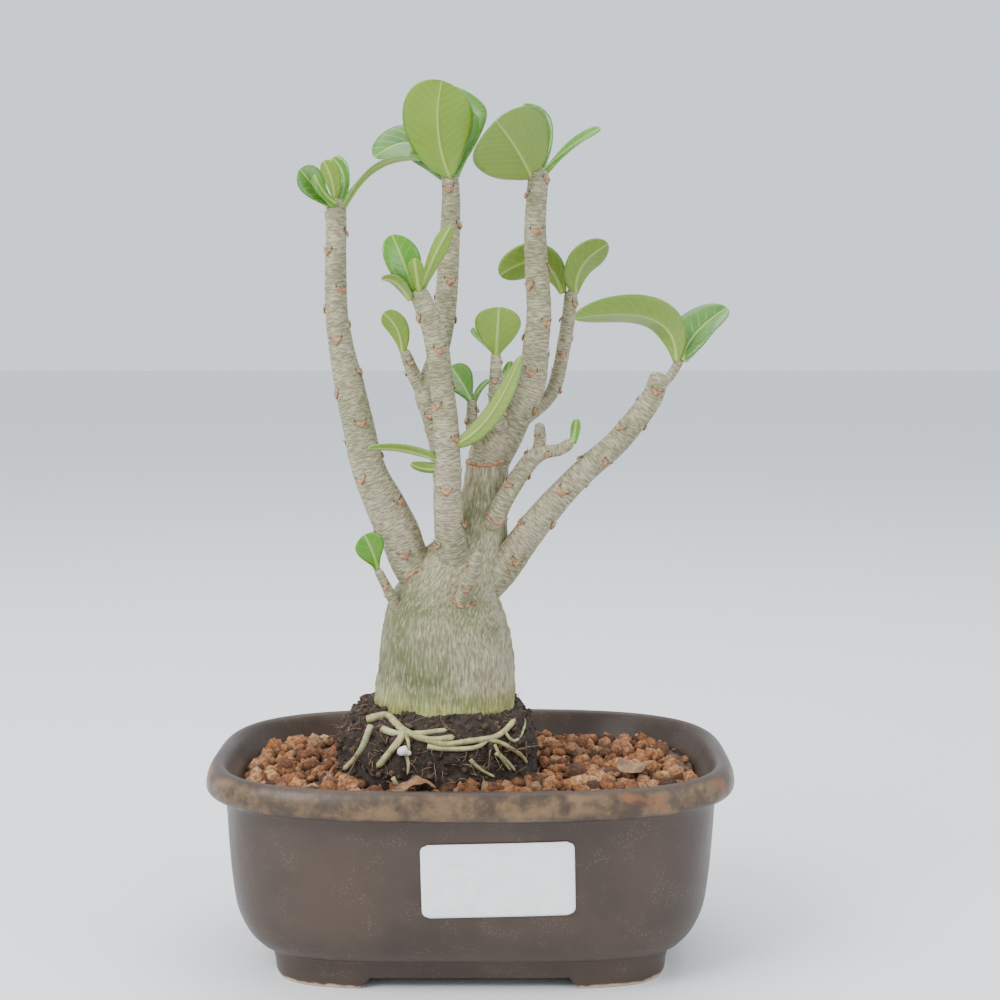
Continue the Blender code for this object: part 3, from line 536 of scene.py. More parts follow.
def buildBed(mat):
    # a wavy bed inside the pot wall, darkened as painted shade between the crumbs, heaped with coarse crumbs
    # of mixed colours
    angles = np.linspace(0, 2 * math.pi, 96, endpoint=False)
    shares = np.array([1.0, 0.97, 0.9, 0.8, 0.7, 0.6, 0.5, 0.4, 0.3, 0.15])
    halfX, halfY = (bed[half] * shares[:, None] - bed["wallGap"] for half in ("halfX", "halfY"))
    x, y = oval(halfX, halfY, bed["power"], angles[None, :])
    rings = np.stack([x, y, bedHeight(x, y) - 1.4], -1)
    low = np.stack([x[0] * 0.97, y[0] * 0.97, np.full(len(angles), 40.0)], -1)[None]
    points, faces = closeRings(np.vstack([low, rings]))
    spot = rng.uniform(-1, 1, (bed["crumbs"] * 3, 2)) * [bed["halfX"] - 2.6, bed["halfY"] - 2.6]
    reach = np.abs(spot / (np.array([bed["halfX"], bed["halfY"]]) - 2.9))
    inside = (reach ** bed["power"]).sum(1) < 1
    fromBall = np.abs(spot - ball["centre"]) / bed["ballHalf"]
    away = (fromBall ** ball["power"]).sum(1) > 1
    spot = spot[inside & away][:bed["crumbs"]]
    sizes = rng.choice(bed["sizes"], len(spot), p=bed["sizeShares"]) * rng.uniform(0.85, 1.15, len(spot))
    wall = 1 - np.maximum(np.abs(spot[:, 0]) / bed["halfX"], np.abs(spot[:, 1]) / bed["halfY"])
    spot *= np.where(wall[:, None] * 45 < sizes[:, None], 0.97, 1.0)
    lift = rng.uniform(-0.6, 0.9, len(spot))
    places = np.column_stack([spot, bedHeight(spot[:, 0], spot[:, 1]) - 0.6 + lift])
    crumbs, crumbFaces, each = crumbShapes(places, sizes, 22)
    shades = np.array(bed["tints"])
    own = shades[rng.choice(len(shades), len(spot), p=bed["tintShares"])]
    own = own * rng.uniform(0.8, 1.2, (len(spot), 1))
    # the sheet under the crumbs is darkened to 0.35 as painted shade in the gaps between them; each crumb
    # keeps its own tint
    tint = np.vstack([np.ones((len(points), 3)) * 0.35, np.repeat(own, each, 0)])
    allFaces = faces + (crumbFaces + len(points)).tolist()
    return addPiece("granule_bed_crumbs", np.vstack([points, crumbs]), allFaces, mat,
                    ["granule_bed"], {"tint": tint})


# Wood: the route of each stem as x, y, z, radius in millimetres, from its root end.
wood = {
    "caudex": [(-7.4, 5, 62, 17), (-7.4, 5, 67, 19.6), (-7.4, 5, 73, 20), (-7.3, 5, 79, 19.3),
        (-7.3, 5, 87, 18.6), (-6.6, 5, 95.6, 16.9), (-4.7, 5, 103, 14.2), (-1.2, 5, 110, 11.2),
        (2, 5, 117, 8.4), (3.4, 5, 126, 6.8), (4.2, 5, 134, 6.2), (4.5, 5, 138.4, 6.1)],
    "left_branch": [(-9, 4, 95, 5.6), (-13.5, 2.5, 104, 6), (-17.6, 2, 111.2, 5.9),
        (-20.2, 1, 118.4, 5.9), (-23.6, 0, 125.6, 5.7), (-28.7, -1, 137.2, 4.8), (-31.4, -1, 149, 4.5),
        (-33.9, 0, 160.3, 4.2), (-36.3, 1, 172, 3.5), (-37.4, 2, 183.3, 3.2), (-37.3, 3, 207.3, 3),
        (-37.3, 3, 211.6, 2.7)],
    "front_branch": [(0, 2, 104, 3.8), (-5, -3.5, 113.5, 4.5), (-6.2, -8, 126.5, 4.1),
        (-6.2, -9, 137.9, 3.8), (-6.7, -10, 149.5, 3.6), (-7.8, -11, 160.7, 3.3),
        (-9.2, -12, 172.1, 3.3), (-11.6, -12.5, 179.9, 3), (-14.3, -13, 186.1, 2.6)],
    "back_branch": [(-1, 5, 108, 2.6), (-5.5, 5, 119, 2.7), (-8.3, 4.5, 132.9, 2.5),
        (-9.6, 4, 142.8, 2.4), (-11.3, 4, 151.2, 2.8), (-12.6, 4, 156.8, 3.3), (-11.3, 4.5, 162.4, 2.9),
        (-8.7, 5, 170.8, 2.9), (-7, 6, 183.4, 3.2), (-5.6, 7, 207.6, 2.8), (-5.9, 7, 218.9, 2.5)],
    "knuckle_twig": [(-13.2, 3.8, 157.4, 2.4), (-16.2, 2, 163.3, 2), (-18.6, 0, 169.8, 1.5)],
    "middle_branch": [(4.8, 5, 136, 5.6), (5.6, 5, 140.3, 6.3), (8.9, 5, 145, 5.6),
        (12.6, 5, 151.2, 4.6), (17, 5, 160.2, 4.1), (18.3, 5, 171.9, 3.8), (19, 5, 180, 3.6),
        (18.2, 5.5, 193.9, 3.4), (17.9, 6, 205.3, 3.1), (18.7, 6, 216.6, 3), (18.7, 6, 220.2, 2.6)],
    "rear_branch": [(14.5, 6.5, 150, 2.4), (20.9, 11, 154.8, 2.1), (24.1, 12, 160.4, 2.1),
        (26.5, 13, 171.8, 2.1), (28.2, 14, 183.5, 2.1), (27.5, 14, 186.4, 1.9)],
    "low_branch": [(4.5, 1.5, 119, 2.8), (6.6, -1, 122.6, 3.1), (9.2, -2, 128, 2.8),
        (13.7, -3, 135.2, 2.6), (17.5, -4, 140, 2.5), (21.1, -5, 141.6, 1.9), (24.7, -5, 142.2, 1.8),
        (28.2, -6, 144.6, 1.7)],
    "low_stub": [(17.9, -4, 139.6, 1.9), (19.2, -4, 144.7, 1.8), (18.9, -5, 149.8, 1.5)],
    "right_branch": [(2, 4, 99.5, 4.4), (8.1, 2, 107, 4.8), (12.6, 1, 113.3, 4.6), (19, 0, 122, 4.2),
        (26, -1, 130.2, 3.8), (32.9, -2, 137.3, 3.6), (39.8, -3, 143.5, 3.5), (45.8, -3, 150.5, 3.3),
        (50.2, -3, 156.8, 3.1), (52.4, -3, 163.5, 2.6)],
    "right_shoot": [(52.2, -3, 159.2, 1.5), (55.6, -3.6, 163.2, 1.4), (57.8, -4, 167.4, 1.4)],
    "upright_twig": [(9.6, 3, 145.4, 2.2), (7.6, -1.6, 150.5, 2.2), (6.9, -3, 156.5, 2.1),
        (6.9, -3.2, 161.3, 1.9), (7, -4, 169.5, 1.5)],
    "short_twig": [(3.4, 3, 141.3, 1.9), (0.5, -0.4, 146.5, 1.8), (0.3, -1, 152.9, 1.6),
        (0.3, -1, 156.5, 1.3)],
    "basal_twig": [(-17.5, 1, 93, 2), (-21.9, -3, 100.3, 1.7), (-24, -4, 104.7, 1.4),
        (-26.2, -5, 109.3, 1.3)],
    "front_twig": [(-3.4, -5, 97.5, 2.6), (-1.2, -11.5, 104.5, 2.2), (0.6, -14, 110.6, 1.7),
        (2.1, -15.5, 115.5, 1.1)],
}


def carry(route):
    # turning-free side directions along a route, from one tangent to the next
    tangent = np.gradient(route[:, :3], axis=0)
    tangent /= np.linalg.norm(tangent, axis=1, keepdims=True)
    side = np.cross(tangent[0], (0.1, 1.0, 0.0))
    sides = []
    for t in tangent:
        side = side - t * np.dot(side, t)
        side /= np.linalg.norm(side)
        sides.append(side)
    sides = np.array(sides)
    return tangent, sides, np.cross(tangent, sides)


def stemShape(route, columns, lumps):
    # a round tube whose radius swells and wrinkles by noise in its straightened space
    _, side, up = carry(route)
    length = np.concatenate([[0], np.cumsum(np.linalg.norm(np.diff(route[:, :3], axis=0), axis=1))])
    angles = np.linspace(0, 2 * math.pi, columns, endpoint=False)
    c, s = np.cos(angles)[None, :], np.sin(angles)[None, :]
    radius = route[:, 3:4]
    straight = np.stack([radius * c, radius * s, np.repeat(length[:, None], columns, 1)], -1)
    swell = lumps * cloud(straight, 7.0, 41) + 0.35 * lumps * cloud(straight * [1, 1, 2.5], 2.2, 42)
    reach = radius * (1 + swell) - 0.12
    around = side[:, None] * (reach * c)[..., None] + up[:, None] * (reach * s)[..., None]
    points = route[:, None, :3] + around
    return points, straight


def roundTip(route, cap):
    # bring the radius down to the tip as a quarter ellipse over the last stretch
    left = np.linalg.norm(route[:, :3] - route[-1, :3], axis=1)
    share = np.clip(left / cap, 0, 1)
    out = route.copy()
    out[:, 3] *= np.sqrt(1 - (1 - share) ** 2) * 0.93 + 0.07
    return out


def buildStem(name, points, mat):
    thick = name == "caudex"
    route = smoothRoute(points, 0.8)
    route = route if thick else roundTip(route, 1.6)
    rings, straight = stemShape(route, 96 if thick else 40, 0.045 if thick else 0.04)
    shape, faces = closeRings(rings)
    straightPoints = withPoles(straight) * mm
    return addPiece(name + "_bark", shape, faces, mat, [name], {"straight": straightPoints})


# Torn collars of old bark, as x, z seen from the front, with the height of the strip.
collars = [([(-1.3, 138.0), (2.5, 137.4), (6.0, 137.6), (9.3, 138.6)], 0.9),
           ([(-5.6, 101.4), (-2.4, 99.2), (1.6, 99.6)], 0.8),
           ([(-18.4, 105.9), (-16.2, 107.5), (-13.6, 108.7)], 0.7),
           ([(4.5, 124.2), (7.0, 121.8), (10.0, 121.9)], 0.6),
           ([(9.6, 110.2), (11.0, 107.4)], 0.6)]


scarLook = dict(pace=5.6, shortPace=3.2, turn=2.4, halfWidth=1.5, height=1.3, rise=0.34, thick=0.25)


def buildScars(stems, mat, darkMat):
    # leaf scars wind up each stem by the golden angle: a raised crescent with two dark
    # bristles; torn collars are ragged strips laid on the wood
    vertices, faces, bristles, bristleFaces = [], [], [], []
    grid = sheetFaces(5, 9)
    across, down = np.meshgrid(np.linspace(-1, 1, 9), np.linspace(0, 1, 5))
    for name, points in stems.items():
        route = smoothRoute(points, 0.8)
        tangent, side, up = carry(route)
        pace = scarLook["pace" if len(points) > 4 else "shortPace"]
        step, turn = int(pace / 0.8), rng.uniform(0, 6)
        if name == "caudex":  # its old scars have healed
            continue
        for at in range(step + (14 if len(points) > 6 else 5), len(route) - 4, step):
            turn += scarLook["turn"]
            radius = route[at, 3]
            w, h = min(scarLook["halfWidth"], radius * 0.5), min(scarLook["height"], radius * 0.42)
            theta = turn + across * w / radius
            drop = -h * down * (1 - 0.75 * np.abs(across)) + 0.45 * np.abs(across) * h
            rise = radius + 0.02 + scarLook["rise"] * np.sin(math.pi * down) * (1 - across ** 2)
            place = route[at, :3] + tangent[at] * drop[..., None]
            place = place + side[at] * (rise * np.cos(theta))[..., None]
            place = place + up[at] * (rise * np.sin(theta))[..., None]
            faces.append(grid + sum(len(v) for v in vertices))
            vertices.append(place.reshape(-1, 3))
            for corner in (-1.15, 1.15):
                angle = turn + corner * w / radius
                out = side[at] * math.cos(angle) + up[at] * math.sin(angle)
                foot = route[at, :3] + out * (radius - 0.1) + tangent[at] * 0.5 * h
                spike = out * 0.75 + tangent[at] * rng.uniform(0.7, 1.5) + side[at] * rng.uniform(-0.3, 0.3)
                ring = np.linspace(0, 2 * math.pi, 5, endpoint=False)
                c, s = np.cos(ring)[:, None], np.sin(ring)[:, None]
                cone = foot + 0.2 * (c * tangent[at] + s * np.cross(out, tangent[at]))
                start = sum(len(v) for v in bristles)
                bristles.append(np.vstack([cone, foot + spike]))
                bristleFaces += [(start + i, start + (i + 1) % 5, start + 5) for i in range(5)]
    surface = woodSurface()
    for outline, height in collars:
        line = smoothRoute([(x, 0, z) for x, z in outline], 0.45)
        hits = [surface.ray_cast(Vector((x, -90, z)) * mm, Vector((0, 1, 0))) for x, _, z in line]
        base = np.array([h[0] for h in hits]) / mm
        normal = np.array([h[1] for h in hits])
        ragged = height * (0.55 + 0.45 * rng.uniform(0, 1, len(base)))
        rows = [base + normal * 0.02 - [0, 0, 0.45], base + normal * 0.42 - [0, 0, 0.1],
                base + normal * 0.40 + np.outer(ragged, [0, 0, 0.6]),
                base - normal * 0.1 + np.outer(ragged, [0, 0, 1.0])]
        faces.append(sheetFaces(4, len(base)) + sum(len(v) for v in vertices))
        vertices.append(np.vstack(rows))
    scars = addPiece("leaf_scars", np.vstack(vertices), np.vstack(faces), mat)
    sheet = scars.modifiers.new("thickness", "SOLIDIFY")
    sheet.thickness = scarLook["thick"] * mm
    sheet.offset = -1
    addPiece("scar_bristles", np.vstack(bristles), bristleFaces, darkMat)


def woodSurface():
    joined = bmesh.new()
    for obj in bpy.data.objects:
        if obj.name.endswith("_bark"):
            joined.from_mesh(obj.data)
    tree = BVHTree.FromBMesh(joined)
    joined.free()
    return tree


# Leaves: start, middle and tip of the midrib, the way the upper side faces, width,
# how far the edges fold up, widest place along, and tone from 0, dull, to 1, fresh green.
leaves = {
    "left_leaf_1": ((-39.6, 0.4, 210.2), (-42.6, -2.2, 213.8), (-46.4, -5, 218.4), (0.3, -0.9, 0.5), 9,
        0.2, 0.72, 0.5),
    "left_leaf_2": ((-38.3, -1, 210), (-40.6, -4, 212.9), (-42.4, -5, 217), (0.2, -0.8, 0.5), 3.4, 0.2,
        0.7, 1),
    "left_leaf_3": ((-37.3, 3.2, 211.8), (-38.2, 2.2, 216.6), (-40.4, 1.6, 221.4), (0.3, 0.8, 0.4), 5.6,
        0.15, 0.72, 0.8),
    "left_leaf_4": ((-35.6, 4.6, 211), (-35, 6.5, 217.4), (-38.6, 8, 222.8), (-0.6, -0.6, 0.5), 4.8,
        0.2, 0.7, 0.9),
    "left_leaf_5": ((-34.8, 2, 209.6), (-25.9, -1, 219), (-13.6, -4, 221.2), (-0.3, -0.1, 0.95), 7, 0.5,
        0.78, 0.6),
    "back_leaf_1": ((-6.2, 4.6, 218.6), (-9, 0.5, 230), (-7.6, -3.5, 242.4), (0.1, 0.95, 0.35), 19.6,
        0.1, 0.64, 0.9),
    "back_leaf_2": ((-5.2, 9.3, 218.8), (-5.6, 14.5, 232), (-3.4, 16, 243), (-0.1, -0.9, 0.4), 19.6,
        0.1, 0.66, 0.6),
    "back_leaf_3": ((-8.4, 7.8, 218.4), (-15.8, 8.4, 226.8), (-26.6, 5.4, 222.6), (-0.2, -0.75, 0.65),
        13.4, 0.15, 0.64, 0.3),
    "back_leaf_4": ((-3.6, 7, 219.2), (-0.9, 6.6, 226.8), (1.6, 5, 234.6), (-0.6, -0.7, 0.3), 7, 0.25,
        0.72, 1),
    "middle_leaf_1": ((16.2, 4.2, 218.2), (12.2, -4, 224.6), (7, -13, 230.6), (-0.32, 0.79, 0.5), 23,
        0.12, 0.6, 0.4),
    "middle_leaf_2": ((19.4, 8, 219.8), (20.9, 10.5, 230), (14.4, 11, 237.6), (-0.5, -0.5, 0.7), 6,
        0.25, 0.66, 0.6),
    "middle_leaf_3": ((21.2, 5.6, 219.2), (28.2, 2.5, 225.6), (35.6, 0, 229.8), (-0.2, -0.5, 0.8), 6.2,
        0.25, 0.72, 0.7),
    "front_leaf_1": ((-15.8, -12.2, 186.6), (-17.6, -14, 192.6), (-21, -13, 200.4), (0.35, -0.85, 0.3),
        10.2, 0.12, 0.64, 1),
    "front_leaf_2": ((-12.6, -12.4, 187), (-9.5, -15, 194.5), (-4.9, -17, 202.6), (0.5, 0.3, 0.8), 4.4,
        0.5, 0.72, 0.7),
    "front_leaf_3": ((-13.8, -15.2, 187.2), (-14.2, -17.8, 190.6), (-14.6, -19.4, 193.9), (0, 0.8, 0.6),
        4, 0.2, 0.66, 1),
    "front_leaf_4": ((-16.6, -15, 184.6), (-19.8, -17.8, 188.2), (-23.4, -19.6, 188.6),
        (-0.1, 0.4, 0.9), 4, 0.2, 0.66, 0.2),
    "knuckle_leaf": ((-18.8, -0.2, 170.2), (-20, -2.6, 175.4), (-23.8, -4.4, 179.8), (0.2, 0.85, 0.45),
        6.8, 0.15, 0.7, 0.8),
    "twig_leaf_1": ((7.1, -5.2, 169.6), (7.4, -8.4, 174.6), (7.8, -11, 181.2), (0, 0.85, 0.5), 12.4,
        0.12, 0.7, 0.7),
    "twig_leaf_2": ((6.2, -2.6, 169.6), (3.8, 0.5, 172), (0.6, 3.5, 175.6), (0.3, -0.5, 0.8), 5, 0.2,
        0.72, 0.9),
    "twig_leaf_3": ((8.4, -1.6, 160.8), (10, 1, 163), (11.2, 2.5, 166.4), (-0.3, -0.4, 0.8), 3.4, 0.2,
        0.7, 0.7),
    "short_leaf_1": ((-0.8, -1.2, 157), (-2.6, -1.6, 160.6), (-5.6, -2, 165), (0.25, -0.85, 0.35), 8.4,
        0.12, 0.72, 0.6),
    "short_leaf_2": ((1.4, -0.8, 156.8), (3, -0.4, 159.2), (5.2, 0, 161.2), (-0.5, -0.4, 0.7), 3, 0.2,
        0.72, 0.6),
    "long_leaf": ((-3.4, -10.8, 144.2), (5.4, -15, 151.7), (13.7, -16, 168.2), (0.5, 0.75, 0.1), 5.2,
        0.25, 0.62, 0.3),
    "side_leaf_1": ((-10.1, -10.2, 140.6), (-18.4, -13, 142.9), (-27.6, -15, 143.3), (0, 0.6, 0.8), 3.6,
        0.25, 0.62, 0.5),
    "side_leaf_2": ((-9.8, -9, 137.4), (-12.8, -8.2, 137.2), (-16.4, -8, 138.6), (0.2, 0.7, 0.6), 4,
        0.15, 0.62, 0.6),
    "rear_leaf_1": ((25.6, 13.8, 186.8), (19.6, 13.4, 194.6), (8, 12, 190.4), (0.2, 0.8, 0.55), 11.2,
        0.15, 0.66, 0.7),
    "rear_leaf_2": ((29.2, 13.6, 186.8), (31, 11, 193.4), (38.4, 9, 199.2), (-0.4, 0.75, 0.45), 10.6,
        0.12, 0.66, 0.4),
    "right_leaf_1": ((56.6, -4.4, 168), (50.2, -6, 178.4), (28.4, -9, 178.4), (0.1, 0.62, 0.78), 13,
        0.35, 0.66, 0.5),
    "right_leaf_2": ((59, -3.8, 168), (62.2, -1, 174), (71.2, 2, 181), (-0.35, -0.6, 0.65), 13, 0.45,
        0.6, 0.2),
    "low_leaf": ((28.6, -6, 145.6), (29, -6, 147.8), (29.2, -6, 150.8), (-0.4, -0.8, 0.3), 2.8, 0.2,
        0.68, 0.8),
    "basal_leaf": ((-26.4, -5.2, 110.2), (-27.2, -7, 113.8), (-29.4, -8, 118.8), (0.3, -0.85, 0.3), 8.6,
        0.12, 0.76, 1),
}


def leafShape(base, middle, tip, facing, width, fold, widest):
    # ring of points at each station along a bent midrib: the upper skin from edge to
    # edge, then the under skin back, with a groove above and a ridge below the midrib
    base, middle, tip, facing = (np.array(v, float) for v in (base, middle, tip, facing))
    bend = 2 * middle - (base + tip) / 2
    base = base - (bend - base) / np.linalg.norm(bend - base) * 1.6  # the stalk goes down into the shoot
    t = 1 - (1 - np.linspace(0, 1, 42)) ** 1.5
    t = t[:, None]
    centre = (1 - t) ** 2 * base + 2 * t * (1 - t) * bend + t * t * tip
    along = 2 * (1 - t) * (bend - base) + 2 * t * (tip - bend)
    along /= np.linalg.norm(along, axis=1, keepdims=True)
    side = np.cross(along, facing)
    side /= np.linalg.norm(side, axis=1, keepdims=True)
    up = np.cross(side, along)
    rise = 0.5 * widest / (1 - widest)
    peak = widest ** rise * (1 - widest) ** 0.5
    half = width / 2 * t ** rise * (1 - t) ** 0.5 / peak + 0.75 * (1 - t) ** 2 + 0.12 * (1 - t)
    lanes = np.linspace(-1, 1, 23)
    lanes = np.sign(lanes) * np.abs(lanes) ** 1.35
    ring = np.concatenate([lanes, lanes[-2:0:-1]])
    upper = np.concatenate([np.ones(23), np.zeros(21)])
    face = np.where(upper > 0, 1.0, -1.0)
    a, u = ring[None, :], face[None, :]
    across = a * half
    thick = 0.28 + 0.75 * (1 - t) ** 4
    body = thick * np.sqrt(np.clip(1 - a ** 6, 0, 1)) * u
    ridge = np.exp(-(across / 0.45) ** 2) * (1 - 0.8 * t)
    body = body - ridge * np.where(u > 0, 0.10, 0.42) * np.clip(t * 6, 0, 1)
    length = np.linalg.norm(tip - base)
    wavy = 0.02 * width * np.sin(9 * t + 2.5 * np.sign(a)) * np.abs(a) ** 2
    lift = fold * np.abs(across) * (1 - 0.25 * np.abs(a)) + body + wavy
    points = centre[:, None] + side[:, None] * across[..., None] + up[:, None] * lift[..., None]
    blade = np.stack([np.broadcast_to(t * length, across.shape), across, np.zeros_like(across)], -1)
    edge = np.abs(np.broadcast_to(a, across.shape))
    return points, blade, np.broadcast_to(upper[None, :], across.shape), edge


def buildLeaf(name, row, mat):
    *shape, tone = row
    rings, blade, upper, edge = leafShape(*shape)
    points, faces = closeRings(rings)
    side = np.stack([upper, np.full_like(edge, tone), edge], -1)
    return addPiece(name + "_blade", points, faces, mat, [name],
                    {"blade": withPoles(blade), "side": withPoles(side)})


# Roots on the peat as x, z seen from the front, then the radius at each end.
roots = {
    "surface_root_1": ([(-27.5, 66.5), (-29.5, 61.5), (-32.5, 56.5), (-35.5, 53.5)], 1.1, 0.8),
    "surface_root_2": ([(-24.0, 66.5), (-19.0, 65.6), (-13.0, 66.0), (-6.0, 66.6)], 1.1, 0.7),
    "surface_root_3": ([(-18.0, 62.0), (-16.6, 58.6), (-17.0, 55.0)], 0.7, 0.45),
    "surface_root_4": ([(-11.5, 62.8), (-5.0, 62.0), (2.0, 62.2), (5.0, 64.2)], 0.9, 0.7),
    "surface_root_5": ([(7.0, 60.4), (10.0, 57.5), (12.5, 54.0)], 0.8, 0.5),
    "surface_root_6": ([(0.0, 59.0), (3.0, 56.0), (7.0, 53.6)], 0.7, 0.45),
}

# Finer roots that lie among them, in the same terms.
fineRoots = [
    ([(-28.5, 68), (-23.5, 69.2), (-17.5, 66.2), (-11.5, 64.6), (-4, 65)], 1.2, 0.9),
    ([(-12.5, 64.6), (-6, 63.4), (0, 64), (7.5, 64.6), (12.5, 67.6)], 0.8, 0.9),
    ([(-17.5, 66.5), (-21, 62), (-25.4, 56.6)], 1.2, 0.9),
    ([(-19, 66.8), (-16.8, 65), (-16.6, 61)], 0.7, 0.5),
    ([(4.6, 64), (9.6, 62.2), (14, 58), (15.6, 54.8)], 0.8, 0.6),
    ([(6.6, 62.6), (8.6, 58.4), (11.2, 54.4)], 0.6, 0.4),
    ([(9.6, 65), (12, 62.2), (15.2, 64.4), (14.8, 67)], 0.6, 0.45),
    ([(-21, 54.6), (-19.4, 52)], 0.8, 0.6),
]


def meshTree(piece):
    corners = [v.co[:] for v in piece.data.vertices]
    return BVHTree.FromPolygons(corners, [face.vertices[:] for face in piece.data.polygons])


def buildRoots(mat, soil):
    # each root's front view is carried back onto the peat and given a tapering tube
    tree = meshTree(soil)
    for name, (outline, thick, thin) in roots.items():
        line = smoothRoute([(x, 0, z) for x, z in outline], 1.0)
        route = []
        for i, (x, _, z) in enumerate(line):
            radius = thick + (thin - thick) * i / (len(line) - 1)
            hit = tree.ray_cast(Vector((x, -90, z)) * mm, Vector((0, 1, 0)))[0]
            if hit is None:
                continue
            route.append((*(hit / mm), radius))
        route = np.array(route)
        for _ in range(3):
            route[1:-1, :3] = (route[:-2, :3] + route[1:-1, :3] * 2 + route[2:, :3]) / 4
        route[:, 1] -= 0.5
        rings, straight = stemShape(roundTip(route, 1.0), 20, 0.08)
        points, faces = closeRings(rings)
        shape = withPoles(straight) * mm
        addPiece(name + "_skin", points, faces, mat, [name], {"straight": shape})


hairs = dict(count=150, across=(-36, 18), up=(52, 69), thick=0.13, taper=0.10)


def buildFibres(mat, darkMat, soil):
    # finer roots, then short hairs with random bends standing a little off the peat
    tree = meshTree(soil)
    def onPeat(x, z):
        hit, normal, _, _ = tree.ray_cast(Vector((x, -90, z)) * mm, Vector((0, 1, 0)))
        return None if hit is None else (np.array(hit) / mm, np.array(normal))
    points, faces, straights = [], [], []
    for outline, thick, thin in fineRoots:
        line = smoothRoute([(x, 0, z) for x, z in outline], 0.9)
        found = [(onPeat(x, z), i) for i, (x, _, z) in enumerate(line)]
        route = np.array([(*hit[0], thick + (thin - thick) * i / len(line)) for hit, i in found if hit])
        for _ in range(4):
            route[1:-1, :3] = (route[:-2, :3] + route[1:-1, :3] * 2 + route[2:, :3]) / 4
        route[:, 1] -= 0.7
        rings, straight = stemShape(roundTip(route, 1.0), 16, 0.10)
        shape, skin = closeRings(rings)
        start = sum(len(p) for p in points)
        faces += [tuple(i + start for i in f) for f in skin]
        points.append(shape)
        straights.append(withPoles(straight) * mm)
    addPiece("fine_roots", np.vstack(points), faces, mat,
             values={"straight": np.vstack(straights)})
    points, faces = [], []
    for _ in range(hairs["count"]):
        hit = onPeat(rng.uniform(*hairs["across"]), rng.uniform(*hairs["up"]))
        if hit is None:
            continue
        steps = np.arange(6)[:, None] / 5
        turn = rng.normal(size=3) * [1.0, 0.25, 1.0]
        route = hit[0] + hit[1] * (0.2 + 0.9 * np.sin(steps * 3)) + steps * turn * rng.uniform(1.5, 4.5)
        route = route + np.sin(steps * 4) * rng.normal(size=3) * 0.7
        radius = hairs["thick"] + hairs["taper"] * (1 - steps[:, 0])
        rings, _ = stemShape(np.column_stack([route, radius]), 5, 0.0)
        shape, skin = closeRings(rings)
        start = sum(len(p) for p in points)
        faces += [tuple(i + start for i in f) for f in skin]
        points.append(shape)
    addPiece("peat_hairs", np.vstack(points), faces, darkMat)


def buildLitter(paleMat, dryMat):
    # a white perlite crumb, and two curled dry leaves on the bed: ovals whose height is a
    # sine along them plus the square of the way across
    spots = np.array([(-18.2, -22.6, 61.6), (-16.6, -22.8, 61.2)])
    crumb, skin, _ = crumbShapes(spots, np.array([1.5, 0.9]), 5)
    addPiece("perlite_crumbs", crumb, skin, paleMat)
    for name, place, size, turn in (("dry_leaf_front", (-15.0, -29.0, 53.6), (6.0, 3.4), 0.2),
                                    ("dry_leaf_right", (45.0, -12.0, 54.6), (4.2, 4.4), 1.1)):
        u, v = np.meshgrid(np.linspace(-1, 1, 25), np.linspace(-1, 1, 13))
        reach = np.sqrt(np.clip(1 - u * u, 0, 1)) * v
        x, y = u * size[0], reach * size[1]
        z = 0.9 * np.sin(3.1 * u + 0.6) + 1.1 * reach ** 2 + 0.3 * np.sin(9 * u) * reach
        c, s = math.cos(turn), math.sin(turn)
        sheet = np.stack([x * c - y * s, x * s + y * c, z], -1).reshape(-1, 3) + place
        piece = addPiece(name, sheet, sheetFaces(13, 25), dryMat)
        thick = piece.modifiers.new("thickness", "SOLIDIFY")
        thick.thickness = 0.25 * mm


camera = dict(place=(0.0081, -0.487, 0.177), pitchDown=0.1009, lens=63.0, sensor=36.0)
light = dict(
    world=(0.86, 0.93, 1.0), worldPower=1.25,  # then each lamp's place, size and power
    lamps={"keyLight": ((-0.7, -0.6, 0.9), 0.7, 17.0), "fillLight": ((0.9, -0.5, 0.6), 0.6, 4.0),
           "topLight": ((0.05, 0.25, 1.1), 0.9, 7.0)})
floorLook = dict(colour=(0.80, 0.82, 0.83, 1), roughness=0.6, reach=6)


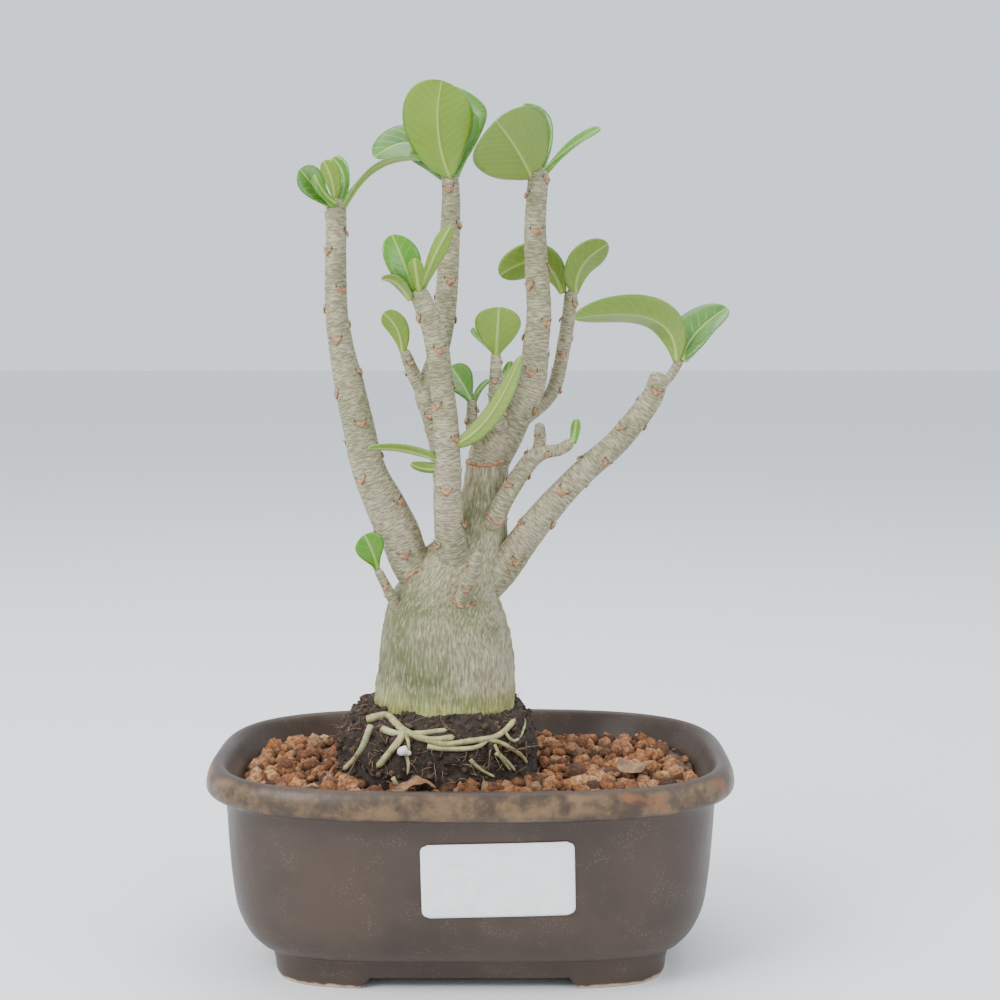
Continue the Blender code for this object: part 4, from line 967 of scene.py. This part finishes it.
def buildStage():
    paint = bpy.data.materials.new("paleFloor")
    paint.use_nodes = True
    shader = paint.node_tree.nodes["Principled BSDF"]
    shader.inputs["Roughness"].default_value = floorLook["roughness"]
    shader.inputs["Base Color"].default_value = floorLook["colour"]
    mesh = bpy.data.meshes.new("floor")
    far = floorLook["reach"]
    mesh.from_pydata([(-far, -far, 0), (far, -far, 0), (far, far, 0), (-far, far, 0)], [], [(0, 1, 2, 3)])
    mesh.materials.append(paint)
    floor = bpy.data.objects.new("floor", mesh)
    bpy.context.scene.collection.objects.link(floor)
    world = bpy.data.worlds.new("studio")
    bpy.context.scene.world = world
    world.use_nodes = True
    world.node_tree.nodes["Background"].inputs[0].default_value = (*light["world"], 1)
    world.node_tree.nodes["Background"].inputs[1].default_value = light["worldPower"]
    for name, (place, size, power) in light["lamps"].items():
        data = bpy.data.lights.new(name, "AREA")
        data.size = size
        data.energy = power
        lamp = bpy.data.objects.new(name, data)
        lamp.location = place
        lamp.rotation_euler = (Vector((0, 0, 0.1)) - Vector(place)).to_track_quat("-Z", "Y").to_euler()
        bpy.context.scene.collection.objects.link(lamp)
    data = bpy.data.cameras.new("camera")
    data.lens = camera["lens"]
    data.sensor_width = camera["sensor"]
    view = bpy.data.objects.new("camera", data)
    view.location = camera["place"]
    view.rotation_euler = (math.pi / 2 - camera["pitchDown"], 0, 0)
    bpy.context.scene.collection.objects.link(view)
    bpy.context.scene.camera = view


buildStage()
print("stage ready")
buildPot(glazeFinish())
grainGroup, wrinkleGroup = grainEffect(), wrinkleEffect()
plain = {name: plainFinish(name, grainGroup) for name in plainFinishes}
buildLabel(plain["labelPaper"])
print("pot ready")
peat = buildBall(plain["peat"])
buildBed(plain["crumbs"])
buildRoots(plain["rootSkin"], peat)
buildFibres(plain["fineRootSkin"], plain["peatHair"], peat)
buildLitter(plain["perlite"], plain["dryLeaf"])
print("soil ready")
barkMats = {part: barkFinish(part, wrinkleGroup) for part in ("caudex", "branch")}
for stemName, stemRoute in wood.items():
    buildStem(stemName, stemRoute, barkMats["caudex" if stemName == "caudex" else "branch"])
buildScars(wood, plain["scarTissue"], plain["driedBristle"])
print("wood ready")
leafMat = leafFinish()
for leafName, leafRow in leaves.items():
    buildLeaf(leafName, leafRow, leafMat)
print("leaves ready")
